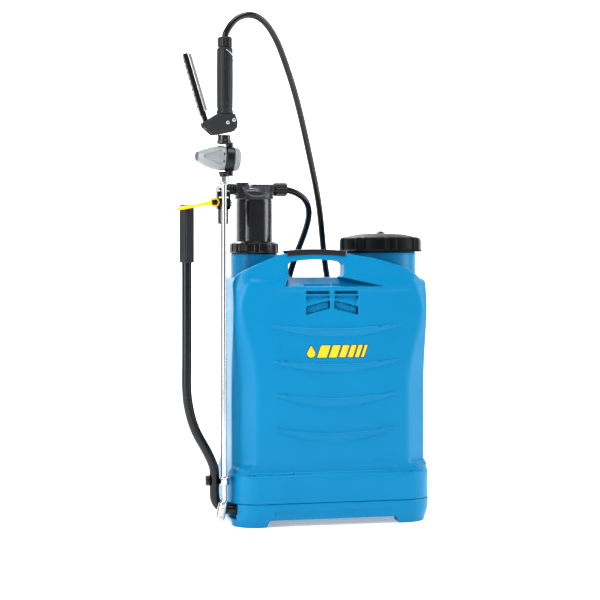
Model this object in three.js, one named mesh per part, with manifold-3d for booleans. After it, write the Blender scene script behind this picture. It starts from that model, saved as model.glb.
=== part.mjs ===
// A knapsack sprayer that stands on the floor: a moulded tank on a footed base, a lever-driven piston pump,
// a shoulder harness, and a spray lance parked beside the tank.
//
// Millimetres, +Z up. X runs along the tank's width, -Y is the outer face and +Y faces the wearer's back.
// Every piece is placed from the tank's centre at floor level. The last lines move the whole object so that
// its origin is the centre of its footprint.

import * as THREE from 'three';
import { mergeVertices } from 'three/addons/utils/BufferGeometryUtils.js';
import Module from 'manifold-3d';

const wasm = await Module();
wasm.setup();

// ---------------------------------------------------------------- driving dimensions

const GAP = 0.3; // between pieces that touch
const WALL = 4; // moulded tank and base

const BASE = { halfWidth: 181, halfDepth: 101, corner: 50, top: 41, foot: 12, footX: 118, footY: 58, taper: 8 };
const TANK = {
  halfWidth: 174, halfDepth: 92.5, corner: 30, flangeTop: 86, bodyFrom: 104, shoulder: 417, top: 429,
};
const HANDLE = { left: -80, right: 19, bottom: 431, top: 461, front: -91, back: -57, shieldBack: -73 };
const FILLER = { x: 109, neck: 64, neckTop: 475, thread: 60, threadTop: 493, bore: 55, ledge: 470, throat: 51 };
const LID = { radius: 75.5, bore: 61, bottom: 475.5, top: 509 };
const STRAINER = { rim: 54.6, radius: 49.5, wall: 2, bottom: 385, windows: 8 };

const PUMP = { x: -124, neck: 41.5, neckTop: 472, thread: 39.4, threadTop: 485, bore: 37 };
const COLLAR = { radius: 43.5, bottom: 472.5, top: 494, lip: 33.2 };
const CYLINDER = { outer: 36.5, inner: 33.2, step: 240, barrelOuter: 26, barrelInner: 22.5, bottom: 62 };
const CHAMBER = { radius: 32.5, wall: 3, bottom: 314, top: 577 };
const PISTON = { radius: 21.8, tube: 8, bore: 5, bottom: 152, top: 182 };
const OUTLET_Z = 587;

const PIVOT = { y: -68, z: 30 }; // the lever's axis, along X
const CRANK = 51; // from the lever's axis to the connecting rod's lower pin
const ROD = { x: -190.5, radius: 4.5, head: 9, headBottom: 524, topPin: 560 };
const LEVER = { tube: 8.4, bore: 6.4, grip: 12.5, gripFrom: 457, gripTo: 557, x: -254, crankX: -206, bend: 26 };
const POCKET = { x: -168, y: -68, halfWidth: 19 }; // in the base's corner, where the lever enters
const LATCH = { x: -207.6, z: 560.8, hub: 8.3, pin: 4.7, droop: 10.5, front: -84.5, back: -77.8 };

const LANCE = { x: -191.6, y: -85, radius: 4.3, bore: 3, top: 604 };
const REGULATOR = { x: -181.4, z: 635.5, tilt: 4 };
const TRIGGER = { x: -219, z: 692, tipX: -255.6, tipZ: 815.5 };
const GRIP = { x: -190.4, radius: 13.4, bottom: 712.3, top: 827 };
const NOZZLE = { x: -193, z: 45.5, tilt: 12.4, radius: 8, length: 32 };

const HOSE = { radius: 5.8, clip: [-48, 104, 330], bend: 48 };
const SCREWS = [[140, -40], [140, 60], [-140, -40], [-140, 60]]; // x and y of each
const STRAP = { x: 90, width: 56, thickness: 11, y: 101, top: 404, bottom: 176 };

// ---------------------------------------------------------------- materials

const material = (color, roughness, metalness = 0) =>
  new THREE.MeshStandardMaterial({ color, roughness, metalness });
const blue = material(0x0a94d6, 0.35);
const black = material(0x17181b, 0.45);
const rubber = material(0x1b1c1f, 0.75);
const darkPaint = material(0x202327, 0.4, 0.3);
const chrome = material(0xd8dadc, 0.15, 1);
const steel = material(0xb4b8bb, 0.3, 1);
const grey = material(0x9aa3a8, 0.45);
const yellow = material(0xf4c20d, 0.4);
const natural = material(0xe8e6dc, 0.5);
const webbing = material(0x1a1b1d, 0.95);

// ---------------------------------------------------------------- solids

// A closed three.js geometry as a manifold solid, with its faces pointing out.
function solid(geometry) {
  const bare = geometry.clone();
  bare.deleteAttribute('normal');
  bare.deleteAttribute('uv');
  const merged = mergeVertices(bare, 1e-4);
  const make = (triangles) =>
    new wasm.Manifold(
      new wasm.Mesh({
        numProp: 3,
        vertProperties: merged.attributes.position.array,
        triVerts: new Uint32Array(triangles),
      }),
    );
  const triangles = Array.from(merged.index.array);
  const made = make(triangles);
  return made.volume() < 0 ? make(triangles.reverse()) : made;
}

function geometryOf(manifold) {
  const mesh = manifold.getMesh();
  const geometry = new THREE.BufferGeometry();
  geometry.setAttribute('position', new THREE.BufferAttribute(new Float32Array(mesh.vertProperties), 3));
  geometry.setIndex(new THREE.BufferAttribute(new Uint32Array(mesh.triVerts), 1));
  geometry.computeVertexNormals();
  return geometry;
}

const join = (...geometries) => geometryOf(geometries.map(solid).reduce((a, b) => a.add(b)));
const cut = (body, ...tools) => geometryOf(tools.map(solid).reduce((a, b) => a.subtract(b), solid(body)));
const common = (a, b) => geometryOf(solid(a).intersect(solid(b)));

// A profile of [radius, height] points turned about the Z axis.
function turned(profile, segments = 24) {
  const points = profile.map(([radius, height]) => new THREE.Vector2(radius, height));
  return new THREE.LatheGeometry(points, segments).rotateX(Math.PI / 2);
}

const disc = (radius, from, to, segments) =>
  turned([[0, from], [radius, from], [radius, to], [0, to]], segments);
const ring = (outer, inner, from, to, segments) =>
  turned([[inner, from], [outer, from], [outer, to], [inner, to], [inner, from]], segments);
const hexagon = (acrossFlats, from, to) => disc(acrossFlats / Math.sqrt(3), from, to, 6);
const box = (from, to) =>
  new THREE.BoxGeometry(...from.map((low, i) => to[i] - low)).translate(
    ...from.map((low, i) => (low + to[i]) / 2),
  );

// A geometry made along Z from the origin, laid along X or along Y and moved to a place.
const alongX = (geometry, x, y, z) => geometry.rotateY(Math.PI / 2).translate(x, y, z);
const alongY = (geometry, x, y, z) => geometry.rotateX(-Math.PI / 2).translate(x, y, z);

// A round bar, tube or hose that follows a smooth curve through the points.
function bar(points, radius, { bore = 0, sides = 5, steps = 40 } = {}) {
  const path = new THREE.CatmullRomCurve3(points.map((point) => new THREE.Vector3(...point)));
  const section = new THREE.Shape().absarc(0, 0, radius, 0, 2 * Math.PI);
  if (bore) section.holes.push(new THREE.Path().absarc(0, 0, bore, 0, 2 * Math.PI, true));
  return new THREE.ExtrudeGeometry(section, { steps, extrudePath: path, curveSegments: sides });
}

// A flat outline of [x, z] points, with its thickness along Y from one y to the other.
function upright(outline, from, to) {
  const shape = new THREE.Shape(outline.map(([x, z]) => new THREE.Vector2(x, z)));
  const plate = new THREE.ExtrudeGeometry(shape, { depth: to - from, bevelEnabled: false });
  return plate.rotateX(Math.PI / 2).translate(0, to, 0);
}

// A rectangle with round corners, as [x, y] points, for outlines seen from above.
function roundedOutline(halfWidth, halfDepth, corner, inset = 0, count = 6) {
  const radius = Math.max(corner - inset, 1);
  const [w, d] = [halfWidth - inset - radius, halfDepth - inset - radius];
  const centres = [[w, d], [-w, d], [-w, -d], [w, -d]];
  return centres.flatMap(([cx, cy], quarter) =>
    Array.from({ length: count + 1 }, (_, i) => {
      const angle = (quarter + i / count) * (Math.PI / 2);
      return [cx + radius * Math.cos(angle), cy + radius * Math.sin(angle)];
    }),
  );
}

// A closed solid through outlines of equal length, each [z, outline].
function loft(layers) {
  const count = layers[0][1].length;
  const positions = layers.flatMap(([z, outline]) => outline.flatMap(([x, y]) => [x, y, z]));
  const index = [];
  for (let layer = 0; layer + 1 < layers.length; layer++) {
    for (let i = 0; i < count; i++) {
      const a = layer * count + i;
      const b = layer * count + ((i + 1) % count);
      index.push(a, b, b + count, a, b + count, a + count);
    }
  }
  for (const layer of [0, layers.length - 1]) {
    const centre = positions.length / 3;
    positions.push(0, 0, layers[layer][0]);
    for (let i = 0; i < count; i++) {
      const a = layer * count + i;
      const b = layer * count + ((i + 1) % count);
      index.push(...(layer ? [centre, a, b] : [centre, b, a]));
    }
  }
  const geometry = new THREE.BufferGeometry();
  geometry.setAttribute('position', new THREE.Float32BufferAttribute(positions, 3));
  geometry.setIndex(index);
  return geometry;
}

// ---------------------------------------------------------------- the scene

const sprayer = new THREE.Group();

function add(name, geometry, look, position = [0, 0, 0], rotation = [0, 0, 0]) {
  const mesh = new THREE.Mesh(geometryOf(solid(geometry)), look);
  mesh.name = name;
  mesh.position.set(...position);
  mesh.rotation.set(...rotation);
  sprayer.add(mesh);
  return mesh;
}

// ---------------------------------------------------------------- tank and base

// The tank and its base share one outline at the flange, where they meet.
const flange = (inset) => roundedOutline(BASE.halfWidth, BASE.halfDepth, BASE.corner, inset);
const trunk = (inset) => roundedOutline(TANK.halfWidth, TANK.halfDepth, TANK.corner, inset);

function addTank() {
  const bottom = BASE.top + GAP;
  const outer = loft([
    [bottom, flange(0)], [TANK.flangeTop, flange(0)], [TANK.bodyFrom, trunk(0)],
    [TANK.shoulder, trunk(0)], [TANK.top, trunk(12)],
  ]);
  const inner = loft([
    [bottom + WALL, flange(WALL)], [TANK.flangeTop, flange(WALL)], [TANK.bodyFrom, trunk(WALL)],
    [TANK.shoulder - 3, trunk(WALL)], [TANK.top - WALL, trunk(12)],
  ]);

  // The outer wall rises in an arch between the two necks, and the handle's opening is cut through it.
  const arch = new THREE.SplineCurve(
    [[-168, 434], [-157, 442], [-124, 458], [-83, 473], [-31, 477], [21, 472], [71, 465], [106, 456],
      [133, 447], [155, 434], [162, 425]].map((point) => new THREE.Vector2(...point)),
  ).getPoints(24).map((point) => point.toArray());
  const shield = upright([...arch, [162, 410], [-168, 410]], HANDLE.front, HANDLE.shieldBack);
  const bar = common(
    upright([...arch, [162, 410], [-168, 410]], HANDLE.front, HANDLE.back),
    box([HANDLE.left - 12, -200, 400], [HANDLE.right + 12, 200, 500]),
  );
  const [middle, reach] = [(HANDLE.bottom + HANDLE.top) / 2, (HANDLE.top - HANDLE.bottom) / 2];
  const opening = join(
    box([HANDLE.left + reach, -120, HANDLE.bottom], [HANDLE.right - reach, -40, HANDLE.top]),
    alongY(disc(reach, 0, 80), HANDLE.left + reach, -120, middle),
    alongY(disc(reach, 0, 80), HANDLE.right - reach, -120, middle),
  );

  const filler = turned(
    [[0, 400], [FILLER.neck, 400], [FILLER.neck, FILLER.neckTop], [FILLER.thread, FILLER.neckTop],
      [FILLER.thread, FILLER.threadTop], [0, FILLER.threadTop]],
    40,
  ).translate(FILLER.x, 0, 0);
  const fillerBore = turned(
    [[0, 390], [FILLER.throat, 390], [FILLER.throat, FILLER.ledge], [FILLER.bore, FILLER.ledge],
      [FILLER.bore, 510], [0, 510]],
    40,
  ).translate(FILLER.x, 0, 0);
  const pumpNeck = turned(
    [[0, 400], [PUMP.neck, 400], [PUMP.neck, PUMP.neckTop], [PUMP.thread, PUMP.neckTop],
      [PUMP.thread, PUMP.threadTop], [0, PUMP.threadTop]],
    32,
  ).translate(PUMP.x, 0, 0);
  const pumpBore = disc(PUMP.bore, 390, 510, 32).translate(PUMP.x, 0, 0);
  const screwHoles = SCREWS.map(([x, y]) => disc(2.4 + GAP, 30, BASE.top + 3 + GAP, 12).translate(x, y, 0));
  const lugs = [-STRAP.x, STRAP.x].flatMap((x) => [
    box([x - 26, TANK.halfDepth - 1, STRAP.top + 1], [x + 26, STRAP.y + 3, STRAP.top + 8]),
    box([x - 23, BASE.halfDepth - 1, 50], [x + 23, STRAP.y + 7, 61.5]),
  ]);
  const body = join(outer, filler, pumpNeck, shield, bar, ...lugs);
  add('tank', cut(body, inner, fillerBore, pumpBore, opening, ...screwHoles), blue);
}

// A tray under the tank, open below, with four feet and a pocket in one corner for the lever.
function addBase() {
  const outer = loft([
    [0, flange(BASE.taper)], [26, flange(0)], [BASE.top, flange(0)],
  ]);
  const inner = loft([
    [-1, flange(BASE.taper + WALL)], [26, flange(WALL)], [BASE.top - WALL, flange(WALL)],
  ]);
  const pads = [1, -1].flatMap((x) => [1, -1].map((y) => common(
    loft([[0, flange(BASE.taper)], [14, flange(BASE.taper - 4)]]),
    box(
      [Math.min(x * BASE.footX, x * 200), Math.min(y * BASE.footY, y * 120), -1],
      [Math.max(x * BASE.footX, x * 200), Math.max(y * BASE.footY, y * 120), 15],
    ),
  )));
  const arches = [
    box([-BASE.footX, -150, -5], [BASE.footX, 150, BASE.foot]),
    box([-250, -BASE.footY, -5], [250, BASE.footY, BASE.foot]),
  ];
  const pocketBack = common(
    box([POCKET.x, -100, BASE.foot], [POCKET.x + WALL, POCKET.y + POCKET.halfWidth + WALL, BASE.top]),
    outer,
  );
  const pocketSide = common(
    box(
      [-190, POCKET.y + POCKET.halfWidth, BASE.foot],
      [POCKET.x + WALL, POCKET.y + POCKET.halfWidth + WALL, BASE.top],
    ),
    outer,
  );
  const pocket = box([-200, -110, BASE.foot + 2], [POCKET.x, POCKET.y + POCKET.halfWidth, 50]);
  const rib = common(
    box([150, -100, BASE.foot], [154, -36, BASE.top - 1]),
    outer,
  );
  const axle = alongX(disc(10.1, -220, 160), 0, PIVOT.y, PIVOT.z);
  add('base', cut(
    join(cut(outer, inner, ...arches), cut(join(pocketBack, pocketSide, rib), ...arches), ...pads),
    pocket, axle, ...SCREWS.map(([x, y]) => disc(2.4 + GAP, 30, 50, 12).translate(x, y, 0)),
  ), blue);
}

// Four screws hold the tank down on its base from below.
function addBaseScrews() {
  const under = BASE.top - WALL - GAP;
  const screw = turned(
    [[0, under - 3], [6, under - 3], [6, under], [2.4, under], [2.4, BASE.top + 3], [0, BASE.top + 3]],
    12,
  );
  SCREWS.forEach(([x, y], i) => add(`base_screw_${i + 1}`, screw, steel, [x, y, 0]));
}

// A soft sleeve over the handle's bar, open below where it meets the opening.
function addHandleGrip() {
  const middle = (HANDLE.left + HANDLE.right) / 2;
  const half = (HANDLE.right - HANDLE.left) / 2 + 4;
  const top = new THREE.SplineCurve(
    [[-half, 474.6], [-half / 2, 476.8], [0, 477.6], [half / 2, 476.6], [half, 474]].map(
      ([x, z]) => new THREE.Vector2(middle + x, z + GAP),
    ),
  ).getPoints(10).map((point) => point.toArray());
  const raised = top.map(([x, z]) => [x, z + 2.5]).reverse();
  add('handle_grip', upright([...top, ...raised], HANDLE.front + 1, HANDLE.back - 1), rubber);
}

// ---------------------------------------------------------------- filler

function addFiller() {
  const gasket = ring(FILLER.thread - 0.5, FILLER.bore, FILLER.threadTop + GAP, FILLER.threadTop + 2.5, 40);
  add('lid_gasket', gasket, rubber, [FILLER.x, 0, 0]);

  const inside = FILLER.threadTop + 2.5 + GAP;
  const lid = turned(
    [[0, inside], [LID.bore, inside], [LID.bore, LID.bottom], [LID.radius + 1.5, LID.bottom],
      [LID.radius + 1.5, LID.bottom + 2], [LID.radius - 1.5, LID.bottom + 4], [LID.radius - 1.5, 498],
      [LID.radius - 3.5, 501], [LID.radius - 9, 503], [LID.radius - 12, 503], [LID.radius - 26, 507.5],
      [0, LID.top]],
    48,
  );
  const ribs = Array.from({ length: 16 }, (_, i) => {
    const angle = (Math.floor(i / 2) + (i % 2 ? 0.14 : -0.14)) * (Math.PI / 4);
    const rib = box([LID.radius - 4, -2, LID.bottom + 3], [LID.radius + 0.8, 2, 499]);
    return rib.rotateZ(angle);
  });
  const stem = disc(4.3, 480, 520, 16);
  add('lid', cut(join(lid, ...ribs), stem), black, [FILLER.x, 0, 0]);

  const vent = turned(
    [[0, inside - 4], [4, inside - 4], [4, LID.top + GAP], [8, LID.top + GAP], [7, LID.top + 3.5],
      [0, LID.top + 4]],
    20,
  );
  add('vent_valve', vent, black, [FILLER.x, 0, 0]);

  const { rim, radius, wall, bottom, windows } = STRAINER;
  const basket = turned(
    [[0, bottom], [radius - 4, bottom], [radius, bottom + 8], [radius, FILLER.ledge + GAP],
      [rim, FILLER.ledge + GAP], [rim, FILLER.ledge + 3.5], [radius - wall, FILLER.ledge + 3.5],
      [radius - wall, bottom + 9], [radius - 5, bottom + wall], [0, bottom + wall]],
    32,
  );
  const slots = Array.from({ length: windows }, (_, i) =>
    box([radius - 8, -12, bottom + 14], [radius + 8, 12, FILLER.ledge - 10])
      .rotateZ((i / windows) * 2 * Math.PI),
  );
  const drains = [-1, 0, 1].map((i) => box([-24, i * 16 - 5, bottom - 2], [24, i * 16 + 5, bottom + 5]));
  add('filler_strainer', cut(basket, ...slots, ...drains), natural, [FILLER.x, 0, 0]);
}

// ---------------------------------------------------------------- pump, fixed side

function addPumpHousing() {
  const at = [PUMP.x, 0, 0];
  const seat = PUMP.threadTop + GAP;
  add('cylinder_gasket', ring(PUMP.thread - 0.4, PUMP.bore + 0.5, seat, seat + 1.3, 32), rubber, at);

  const { outer, inner, step, barrelOuter, barrelInner, bottom } = CYLINDER;
  const rim = seat + 1.3 + GAP;
  const cylinder = turned(
    [[barrelInner, bottom + 4], [8, bottom + 4], [8, bottom], [barrelOuter, bottom], [barrelOuter, step - 4],
      [outer, step], [outer, rim], [PUMP.thread, rim], [PUMP.thread, rim + 2.2], [inner, rim + 2.2],
      [inner, step + 2], [barrelInner, step + 2], [barrelInner, bottom + 4]],
    32,
  );
  add('pump_cylinder', cylinder, natural, at);

  const lip = rim + 2.2 + GAP;
  const nut = turned(
    [[PUMP.thread + GAP, COLLAR.bottom], [COLLAR.radius + 1.5, COLLAR.bottom],
      [COLLAR.radius + 1.5, COLLAR.bottom + 2], [COLLAR.radius - 1.5, COLLAR.bottom + 3],
      [COLLAR.radius - 1.5, COLLAR.top - 1], [COLLAR.radius - 3, COLLAR.top], [COLLAR.lip, COLLAR.top],
      [COLLAR.lip, lip], [PUMP.thread + GAP, lip], [PUMP.thread + GAP, COLLAR.bottom]],
    32,
  );
  const ribs = Array.from({ length: 16 }, (_, i) =>
    box([COLLAR.radius - 3, -1.6, COLLAR.bottom + 1], [COLLAR.radius + 0.6, 1.6, COLLAR.top - 2])
      .rotateZ((i / 16) * 2 * Math.PI),
  );
  add('pump_collar_nut', join(nut, ...ribs), black, at);

  const cup = turned(
    [[0, bottom - 12], [17, bottom - 12], [20, bottom - 9], [20, bottom - GAP], [17, bottom - GAP],
      [17, bottom - 9], [0, bottom - 9]],
    20,
  );
  const windows = [0, 1, 2].map((i) =>
    box([-25, -6, bottom - 7], [25, 6, bottom - 3]).rotateZ((i * Math.PI) / 3));
  add('foot_strainer', cut(cup, ...windows), natural, at);
  const ball = new THREE.SphereGeometry(9.5, 14, 10).translate(0, 0, bottom + 4 + 5.6);
  add('inlet_valve_ball', ball, steel, at);
}

// ---------------------------------------------------------------- pump, moving side

function addPumpChamber() {
  const at = [PUMP.x, 0, 0];
  const { radius, wall, bottom, top } = CHAMBER;
  const chamber = turned(
    [[PISTON.tube + GAP, bottom], [radius - 2, bottom], [radius, bottom + 3], [radius, top],
      [radius - wall, top], [radius - wall, bottom + 4], [PISTON.tube + GAP, bottom + 4],
      [PISTON.tube + GAP, bottom]],
    32,
  );
  add('pressure_chamber', chamber, black, at);

  // The head closes the chamber and carries a cross pipe, with a saddle where the two meet.
  const cap = turned(
    [[0, top - 6], [radius - wall - GAP, top - 6], [radius - wall - GAP, top + GAP], [radius + 1, top + GAP],
      [radius + 1, top + 4], [radius - 4, top + 8], [0, top + 8]],
    32,
  );
  const pipe = alongX(disc(10, 0, 73, 20), -35, 0, OUTLET_Z);
  const block = box([-32, -12, OUTLET_Z - 8], [-11, 12, OUTLET_Z + 11]);
  const bore = join(alongX(disc(5, 0, 60, 12), -20, 0, OUTLET_Z), disc(5, top - 20, OUTLET_Z, 12));
  add('pump_head', cut(join(cap, pipe, block), bore), black, at);

  const nut = ring(12.3, HOSE.radius + GAP, 0, 24, 24);
  const knurls = Array.from({ length: 8 }, (_, i) =>
    box([11, -1.8, 3], [13.4, 1.8, 22]).rotateZ((i / 8) * 2 * Math.PI),
  );
  const socket = disc(10 + GAP, -1, 2.5, 20);
  add('outlet_nut', cut(join(nut, ...knurls), socket).rotateY(Math.PI / 2), black, [PUMP.x + 36, 0, OUTLET_Z]);

  const tube = ring(PISTON.tube, PISTON.bore, PISTON.top + GAP, bottom + 18, 20);
  const collar = ring(12, PISTON.bore, bottom + 4 + GAP, bottom + 8, 20);
  add('piston_tube', join(tube, collar), steel, at);
  const piston = turned(
    [[PISTON.bore, PISTON.bottom], [18, PISTON.bottom], [18, PISTON.bottom + 8], [13, PISTON.bottom + 8],
      [13, PISTON.top - 10], [20, PISTON.top - 8], [20, PISTON.top], [PISTON.bore, PISTON.top],
      [PISTON.bore, PISTON.bottom]],
    24,
  );
  add('piston', piston, black, at);
  const seal = turned(
    [[13 + GAP, PISTON.bottom + 8 + GAP], [PISTON.radius, PISTON.bottom + 8 + GAP],
      [PISTON.radius, PISTON.top - 11], [13 + GAP, PISTON.top - 11], [13 + GAP, PISTON.bottom + 8 + GAP]],
    24,
  );
  add('piston_seal', seal, rubber, at);
  const ball = new THREE.SphereGeometry(4.5, 12, 8).translate(0, 0, PISTON.top + 12);
  add('outlet_valve_ball', ball, steel, at);
}

// The arm carries the connecting rod's thrust from the side of the head, and ends in a fork.
function addYokeArm() {
  const { x, head, topPin } = ROD;
  const left = x - head - 3.5;
  const right = x + head + 3.5;
  const y = PIVOT.y;
  const elbow = bar(
    [[PUMP.x - 37, 0, OUTLET_Z], [-174, -2, OUTLET_Z], [-186, -14, OUTLET_Z - 1],
      [-190, -34, OUTLET_Z - 3], [-191, -62, OUTLET_Z - 6]],
    8,
    { sides: 8, steps: 20 },
  );
  const knuckle = alongX(disc(10.5, 0, 16, 20), PUMP.x - 35 - GAP - 16, 0, OUTLET_Z);
  const bridge = box([left, y - 9, topPin + 11], [right, y + 9, topPin + 22]);
  const cheeks = [
    box([left, y - 9, topPin - 11], [x - head - GAP, y + 9, topPin + 12]),
    box([x + head + GAP, y - 9, topPin - 11], [right, y + 9, topPin + 12]),
  ];
  const lug = box([LATCH.x - 4.5, y - 9, LATCH.z - 4.5], [left + 1, y - 2, LATCH.z + 4.5]);
  const stub = alongY(disc(LATCH.pin, 0, 12, 20), LATCH.x, y - 20, LATCH.z);
  const pinHole = alongX(disc(4 + GAP, -230, -170, 16), 0, y, topPin);
  add('yoke_arm', cut(join(elbow, knuckle, bridge, ...cheeks, lug, stub), pinHole), black);
  const pin = turned([[0, 0], [4, 0], [4, 26.5], [6, 26.5 + GAP], [6, 28.4], [0, 28.4]], 16);
  add('rod_pin', alongX(pin, left - 1, y, topPin), steel);
}

function addPumpRod() {
  const { x, radius, head, headBottom, topPin } = ROD;
  const y = PIVOT.y;
  const eyeZ = PIVOT.z + CRANK;
  const socket = join(
    disc(head, headBottom, topPin, 20).translate(x, y, 0),
    alongX(disc(head, 0, 2 * head - 2 * GAP, 24), x - head + GAP, y, topPin),
  );
  const shank = disc(radius, eyeZ, headBottom + 4, 16).translate(x, y, 0);
  const eye = alongX(disc(8, 0, 7, 20), x - 3.5, y, eyeZ);
  const holes = [
    alongX(disc(4 + GAP, 0, 60, 16), x - 30, y, topPin),
    alongX(disc(4 + GAP, 0, 60, 16), x - 30, y, eyeZ),
  ];
  add('pump_rod', cut(join(socket, shank, eye), ...holes), darkPaint);

  const eyePin = join(disc(4, 0.2, 9, 16), disc(6, 8.2, 9.8, 16));
  add('rod_eye_pin', alongX(eyePin, x - 3.5, y, eyeZ), steel);
}

// ---------------------------------------------------------------- lever

function addLever() {
  const { tube, bore, grip, gripFrom, gripTo, x, crankX, bend } = LEVER;
  const y = PIVOT.y;
  const arc = [1, 2, 3].map((i) => {
    const angle = (i / 4) * (Math.PI / 2);
    return [crankX + bend * (1 - Math.cos(angle)), y, PIVOT.z + bend * (1 - Math.sin(angle))];
  });
  const route = [
    [x, y, gripTo - 4], [x, y, 400], [x, y, 300], [x, y, 238], [x + 5, y, 200], [-238, y, 166], [-219, y, 131],
    [-208, y, 106], [crankX, y, 88], [crankX, y, 70], [crankX, y, PIVOT.z + bend], ...arc,
    [crankX + bend, y, PIVOT.z], [-165, y, PIVOT.z], [-140, y, PIVOT.z],
  ];
  const eyeZ = PIVOT.z + CRANK;
  const hole = alongX(disc(4 + GAP, 0, 40, 16), crankX - 20, y, eyeZ);
  const tubeBody = bar(route, tube, { bore, sides: 5, steps: 40 });
  add('lever_tube', cut(tubeBody, hole), darkPaint);

  const sleeve = turned(
    [[tube + GAP, gripFrom], [grip, gripFrom], [grip, gripTo - 3], [grip - 3, gripTo], [0, gripTo],
      [0, gripTo - 4 + GAP], [tube + GAP, gripTo - 4 + GAP], [tube + GAP, gripFrom]],
    24,
  );
  add('lever_grip', sleeve, rubber, [x, y, 0]);

  const shaft = disc(bore - 0.6, 0, 322, 20);
  add('lever_shaft', alongX(shaft, -158, y, PIVOT.z), steel);

  const bolt = join(
    hexagon(16, -7, -GAP).rotateZ(Math.PI / 6),
    disc(4, -1, 19, 16),
  );
  add('lever_bolt', alongX(bolt, crankX - tube - GAP, y, eyeZ), black);
}

// Plain bushes carry the lever's shaft in the two ends of the base.
function addShaftBushes() {
  const y = PIVOT.y;
  const left = turned(
    [[LEVER.tube + GAP, 0], [10.6, 0], [10.6, 3.5], [9.8, 3.5 + GAP], [9.8, 16], [LEVER.tube + GAP, 16],
      [LEVER.tube + GAP, 0]],
    24,
  );
  add('shaft_bush_left', alongX(left, POCKET.x - 3.5 - GAP, y, PIVOT.z), black);
  const right = turned(
    [[LEVER.bore, 0], [9.8, 0], [9.8, 14], [LEVER.bore, 14], [LEVER.bore, 0]],
    24,
  );
  add('shaft_bush_right', alongX(right, 145, y, PIVOT.z), black);
}

// A yellow finger clip swings on the fork's stub and holds the lever's grip upright.
function addLeverClip() {
  const reach = LEVER.x - LATCH.x;
  const depth = PIVOT.y;
  const [inner, outer, from, to] = [14.5, 18.5, Math.PI * 0.93, Math.PI * 2.07];
  const jaw = new THREE.Shape();
  jaw.absarc(0, 0, outer, from, to, false);
  jaw.absarc(0, 0, inner, to, from, true);
  const loop = new THREE.ExtrudeGeometry(jaw, { depth: 5, bevelEnabled: false, curveSegments: 16 });
  const arm = box([reach, depth - outer, -2.5], [-LATCH.hub + 1, depth - inner - 0.8, 2.5]);
  const tip = box([reach - 20, depth - outer, -2], [reach + 1, depth - outer + 4, 2]);
  const hub = alongY(ring(LATCH.hub, LATCH.pin + GAP, LATCH.front, LATCH.back, 24), 0, 0, 0);
  const clip = join(loop.translate(reach, depth, -2.5), arm, tip, hub);
  const droop = THREE.MathUtils.degToRad(LATCH.droop);
  add('lever_clip', clip, yellow, [LATCH.x, 0, LATCH.z], [0, -droop, 0]);
}

// ---------------------------------------------------------------- lance and gun

function addLance() {
  const { x, y, radius, bore, top } = LANCE;
  const lean = THREE.MathUtils.degToRad(NOZZLE.tilt);
  const [dx, dz] = [Math.sin(lean), Math.cos(lean)];
  const route = [
    [x, y, top], [x, y, 400], [x, y, 200], [x, y, 84], [x - 0.1, y, 68],
    ...[9, 1, -7].map((along) => [NOZZLE.x + along * dx, y, NOZZLE.z + along * dz]),
  ];
  add('lance_tube', bar(route, radius, { bore, sides: 5, steps: 18 }), chrome);
  const lower = cut(hexagon(16, 75.5, 90.5), disc(radius + GAP, 60, 100, 16)).rotateZ(Math.PI / 6);
  add('lance_lower_nut', lower, chrome, [x, y, 0]);
  const upper = cut(hexagon(16, 590.5, 605), disc(radius + GAP, 580, 610, 16));
  add('lance_upper_nut', upper, chrome, [x, y, 0]);
  const cap = turned(
    [[radius + 1, 0], [NOZZLE.radius - 1, 0], [NOZZLE.radius, -2], [NOZZLE.radius, -NOZZLE.length + 5],
      [NOZZLE.radius - 1.5, -NOZZLE.length + 1], [NOZZLE.radius - 2, -NOZZLE.length], [1.2, -NOZZLE.length],
      [1.2, -10], [radius + 1, -10], [radius + 1, 0]],
    24,
  );
  add('nozzle_cap', cap, chrome, [NOZZLE.x, y, NOZZLE.z], [0, lean, 0]);
}

// The regulator's axis lies almost along X, across the lance.
function addRegulator() {
  const tilt = THREE.MathUtils.degToRad(REGULATOR.tilt);
  const at = [REGULATOR.x, LANCE.y, REGULATOR.z];
  const across = [0, Math.PI / 2 + tilt, 0];
  const band = turned([[0, -14], [9, -14], [9, -8.3], [22, -8.3], [22, 5.4], [9, 5.4], [9, 12], [0, 12]], 28)
    .rotateY(Math.PI / 2 + tilt).translate(...at);
  const [low, high] = [613.2, 659.5];
  const stem = turned(
    [[0, 605.3], [8.5, 605.3], [8.5, 609], [10, 610], [10, 613], [8, low], [8, 665], [0, 665]],
    20,
  ).translate(LANCE.x, LANCE.y, 0);
  const knobRoom = box([LANCE.x - 20, LANCE.y - 20, low], [-188.2, LANCE.y + 20, high]);
  add('regulator_body', join(cut(stem, knobRoom), band), black);
  const knob = turned(
    [[0, -60], [5, -59.4], [9, -57], [14, -49], [18, -37], [21, -22], [21, -12], [19, -8.6], [9 + GAP, -8.6],
      [9 + GAP, -14.3], [0, -14.3]],
    28,
  );
  add('regulator_knob', knob, grey, at, across);
  const cap = turned(
    [[9 + GAP, 5.7], [20.5, 5.7], [20.5, 9], [18.5, 14], [13, 17.5], [0, 19], [0, 12.3], [9 + GAP, 12.3],
      [9 + GAP, 5.7]],
    28,
  );
  add('regulator_cap', cap, grey, at, across);
}

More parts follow.
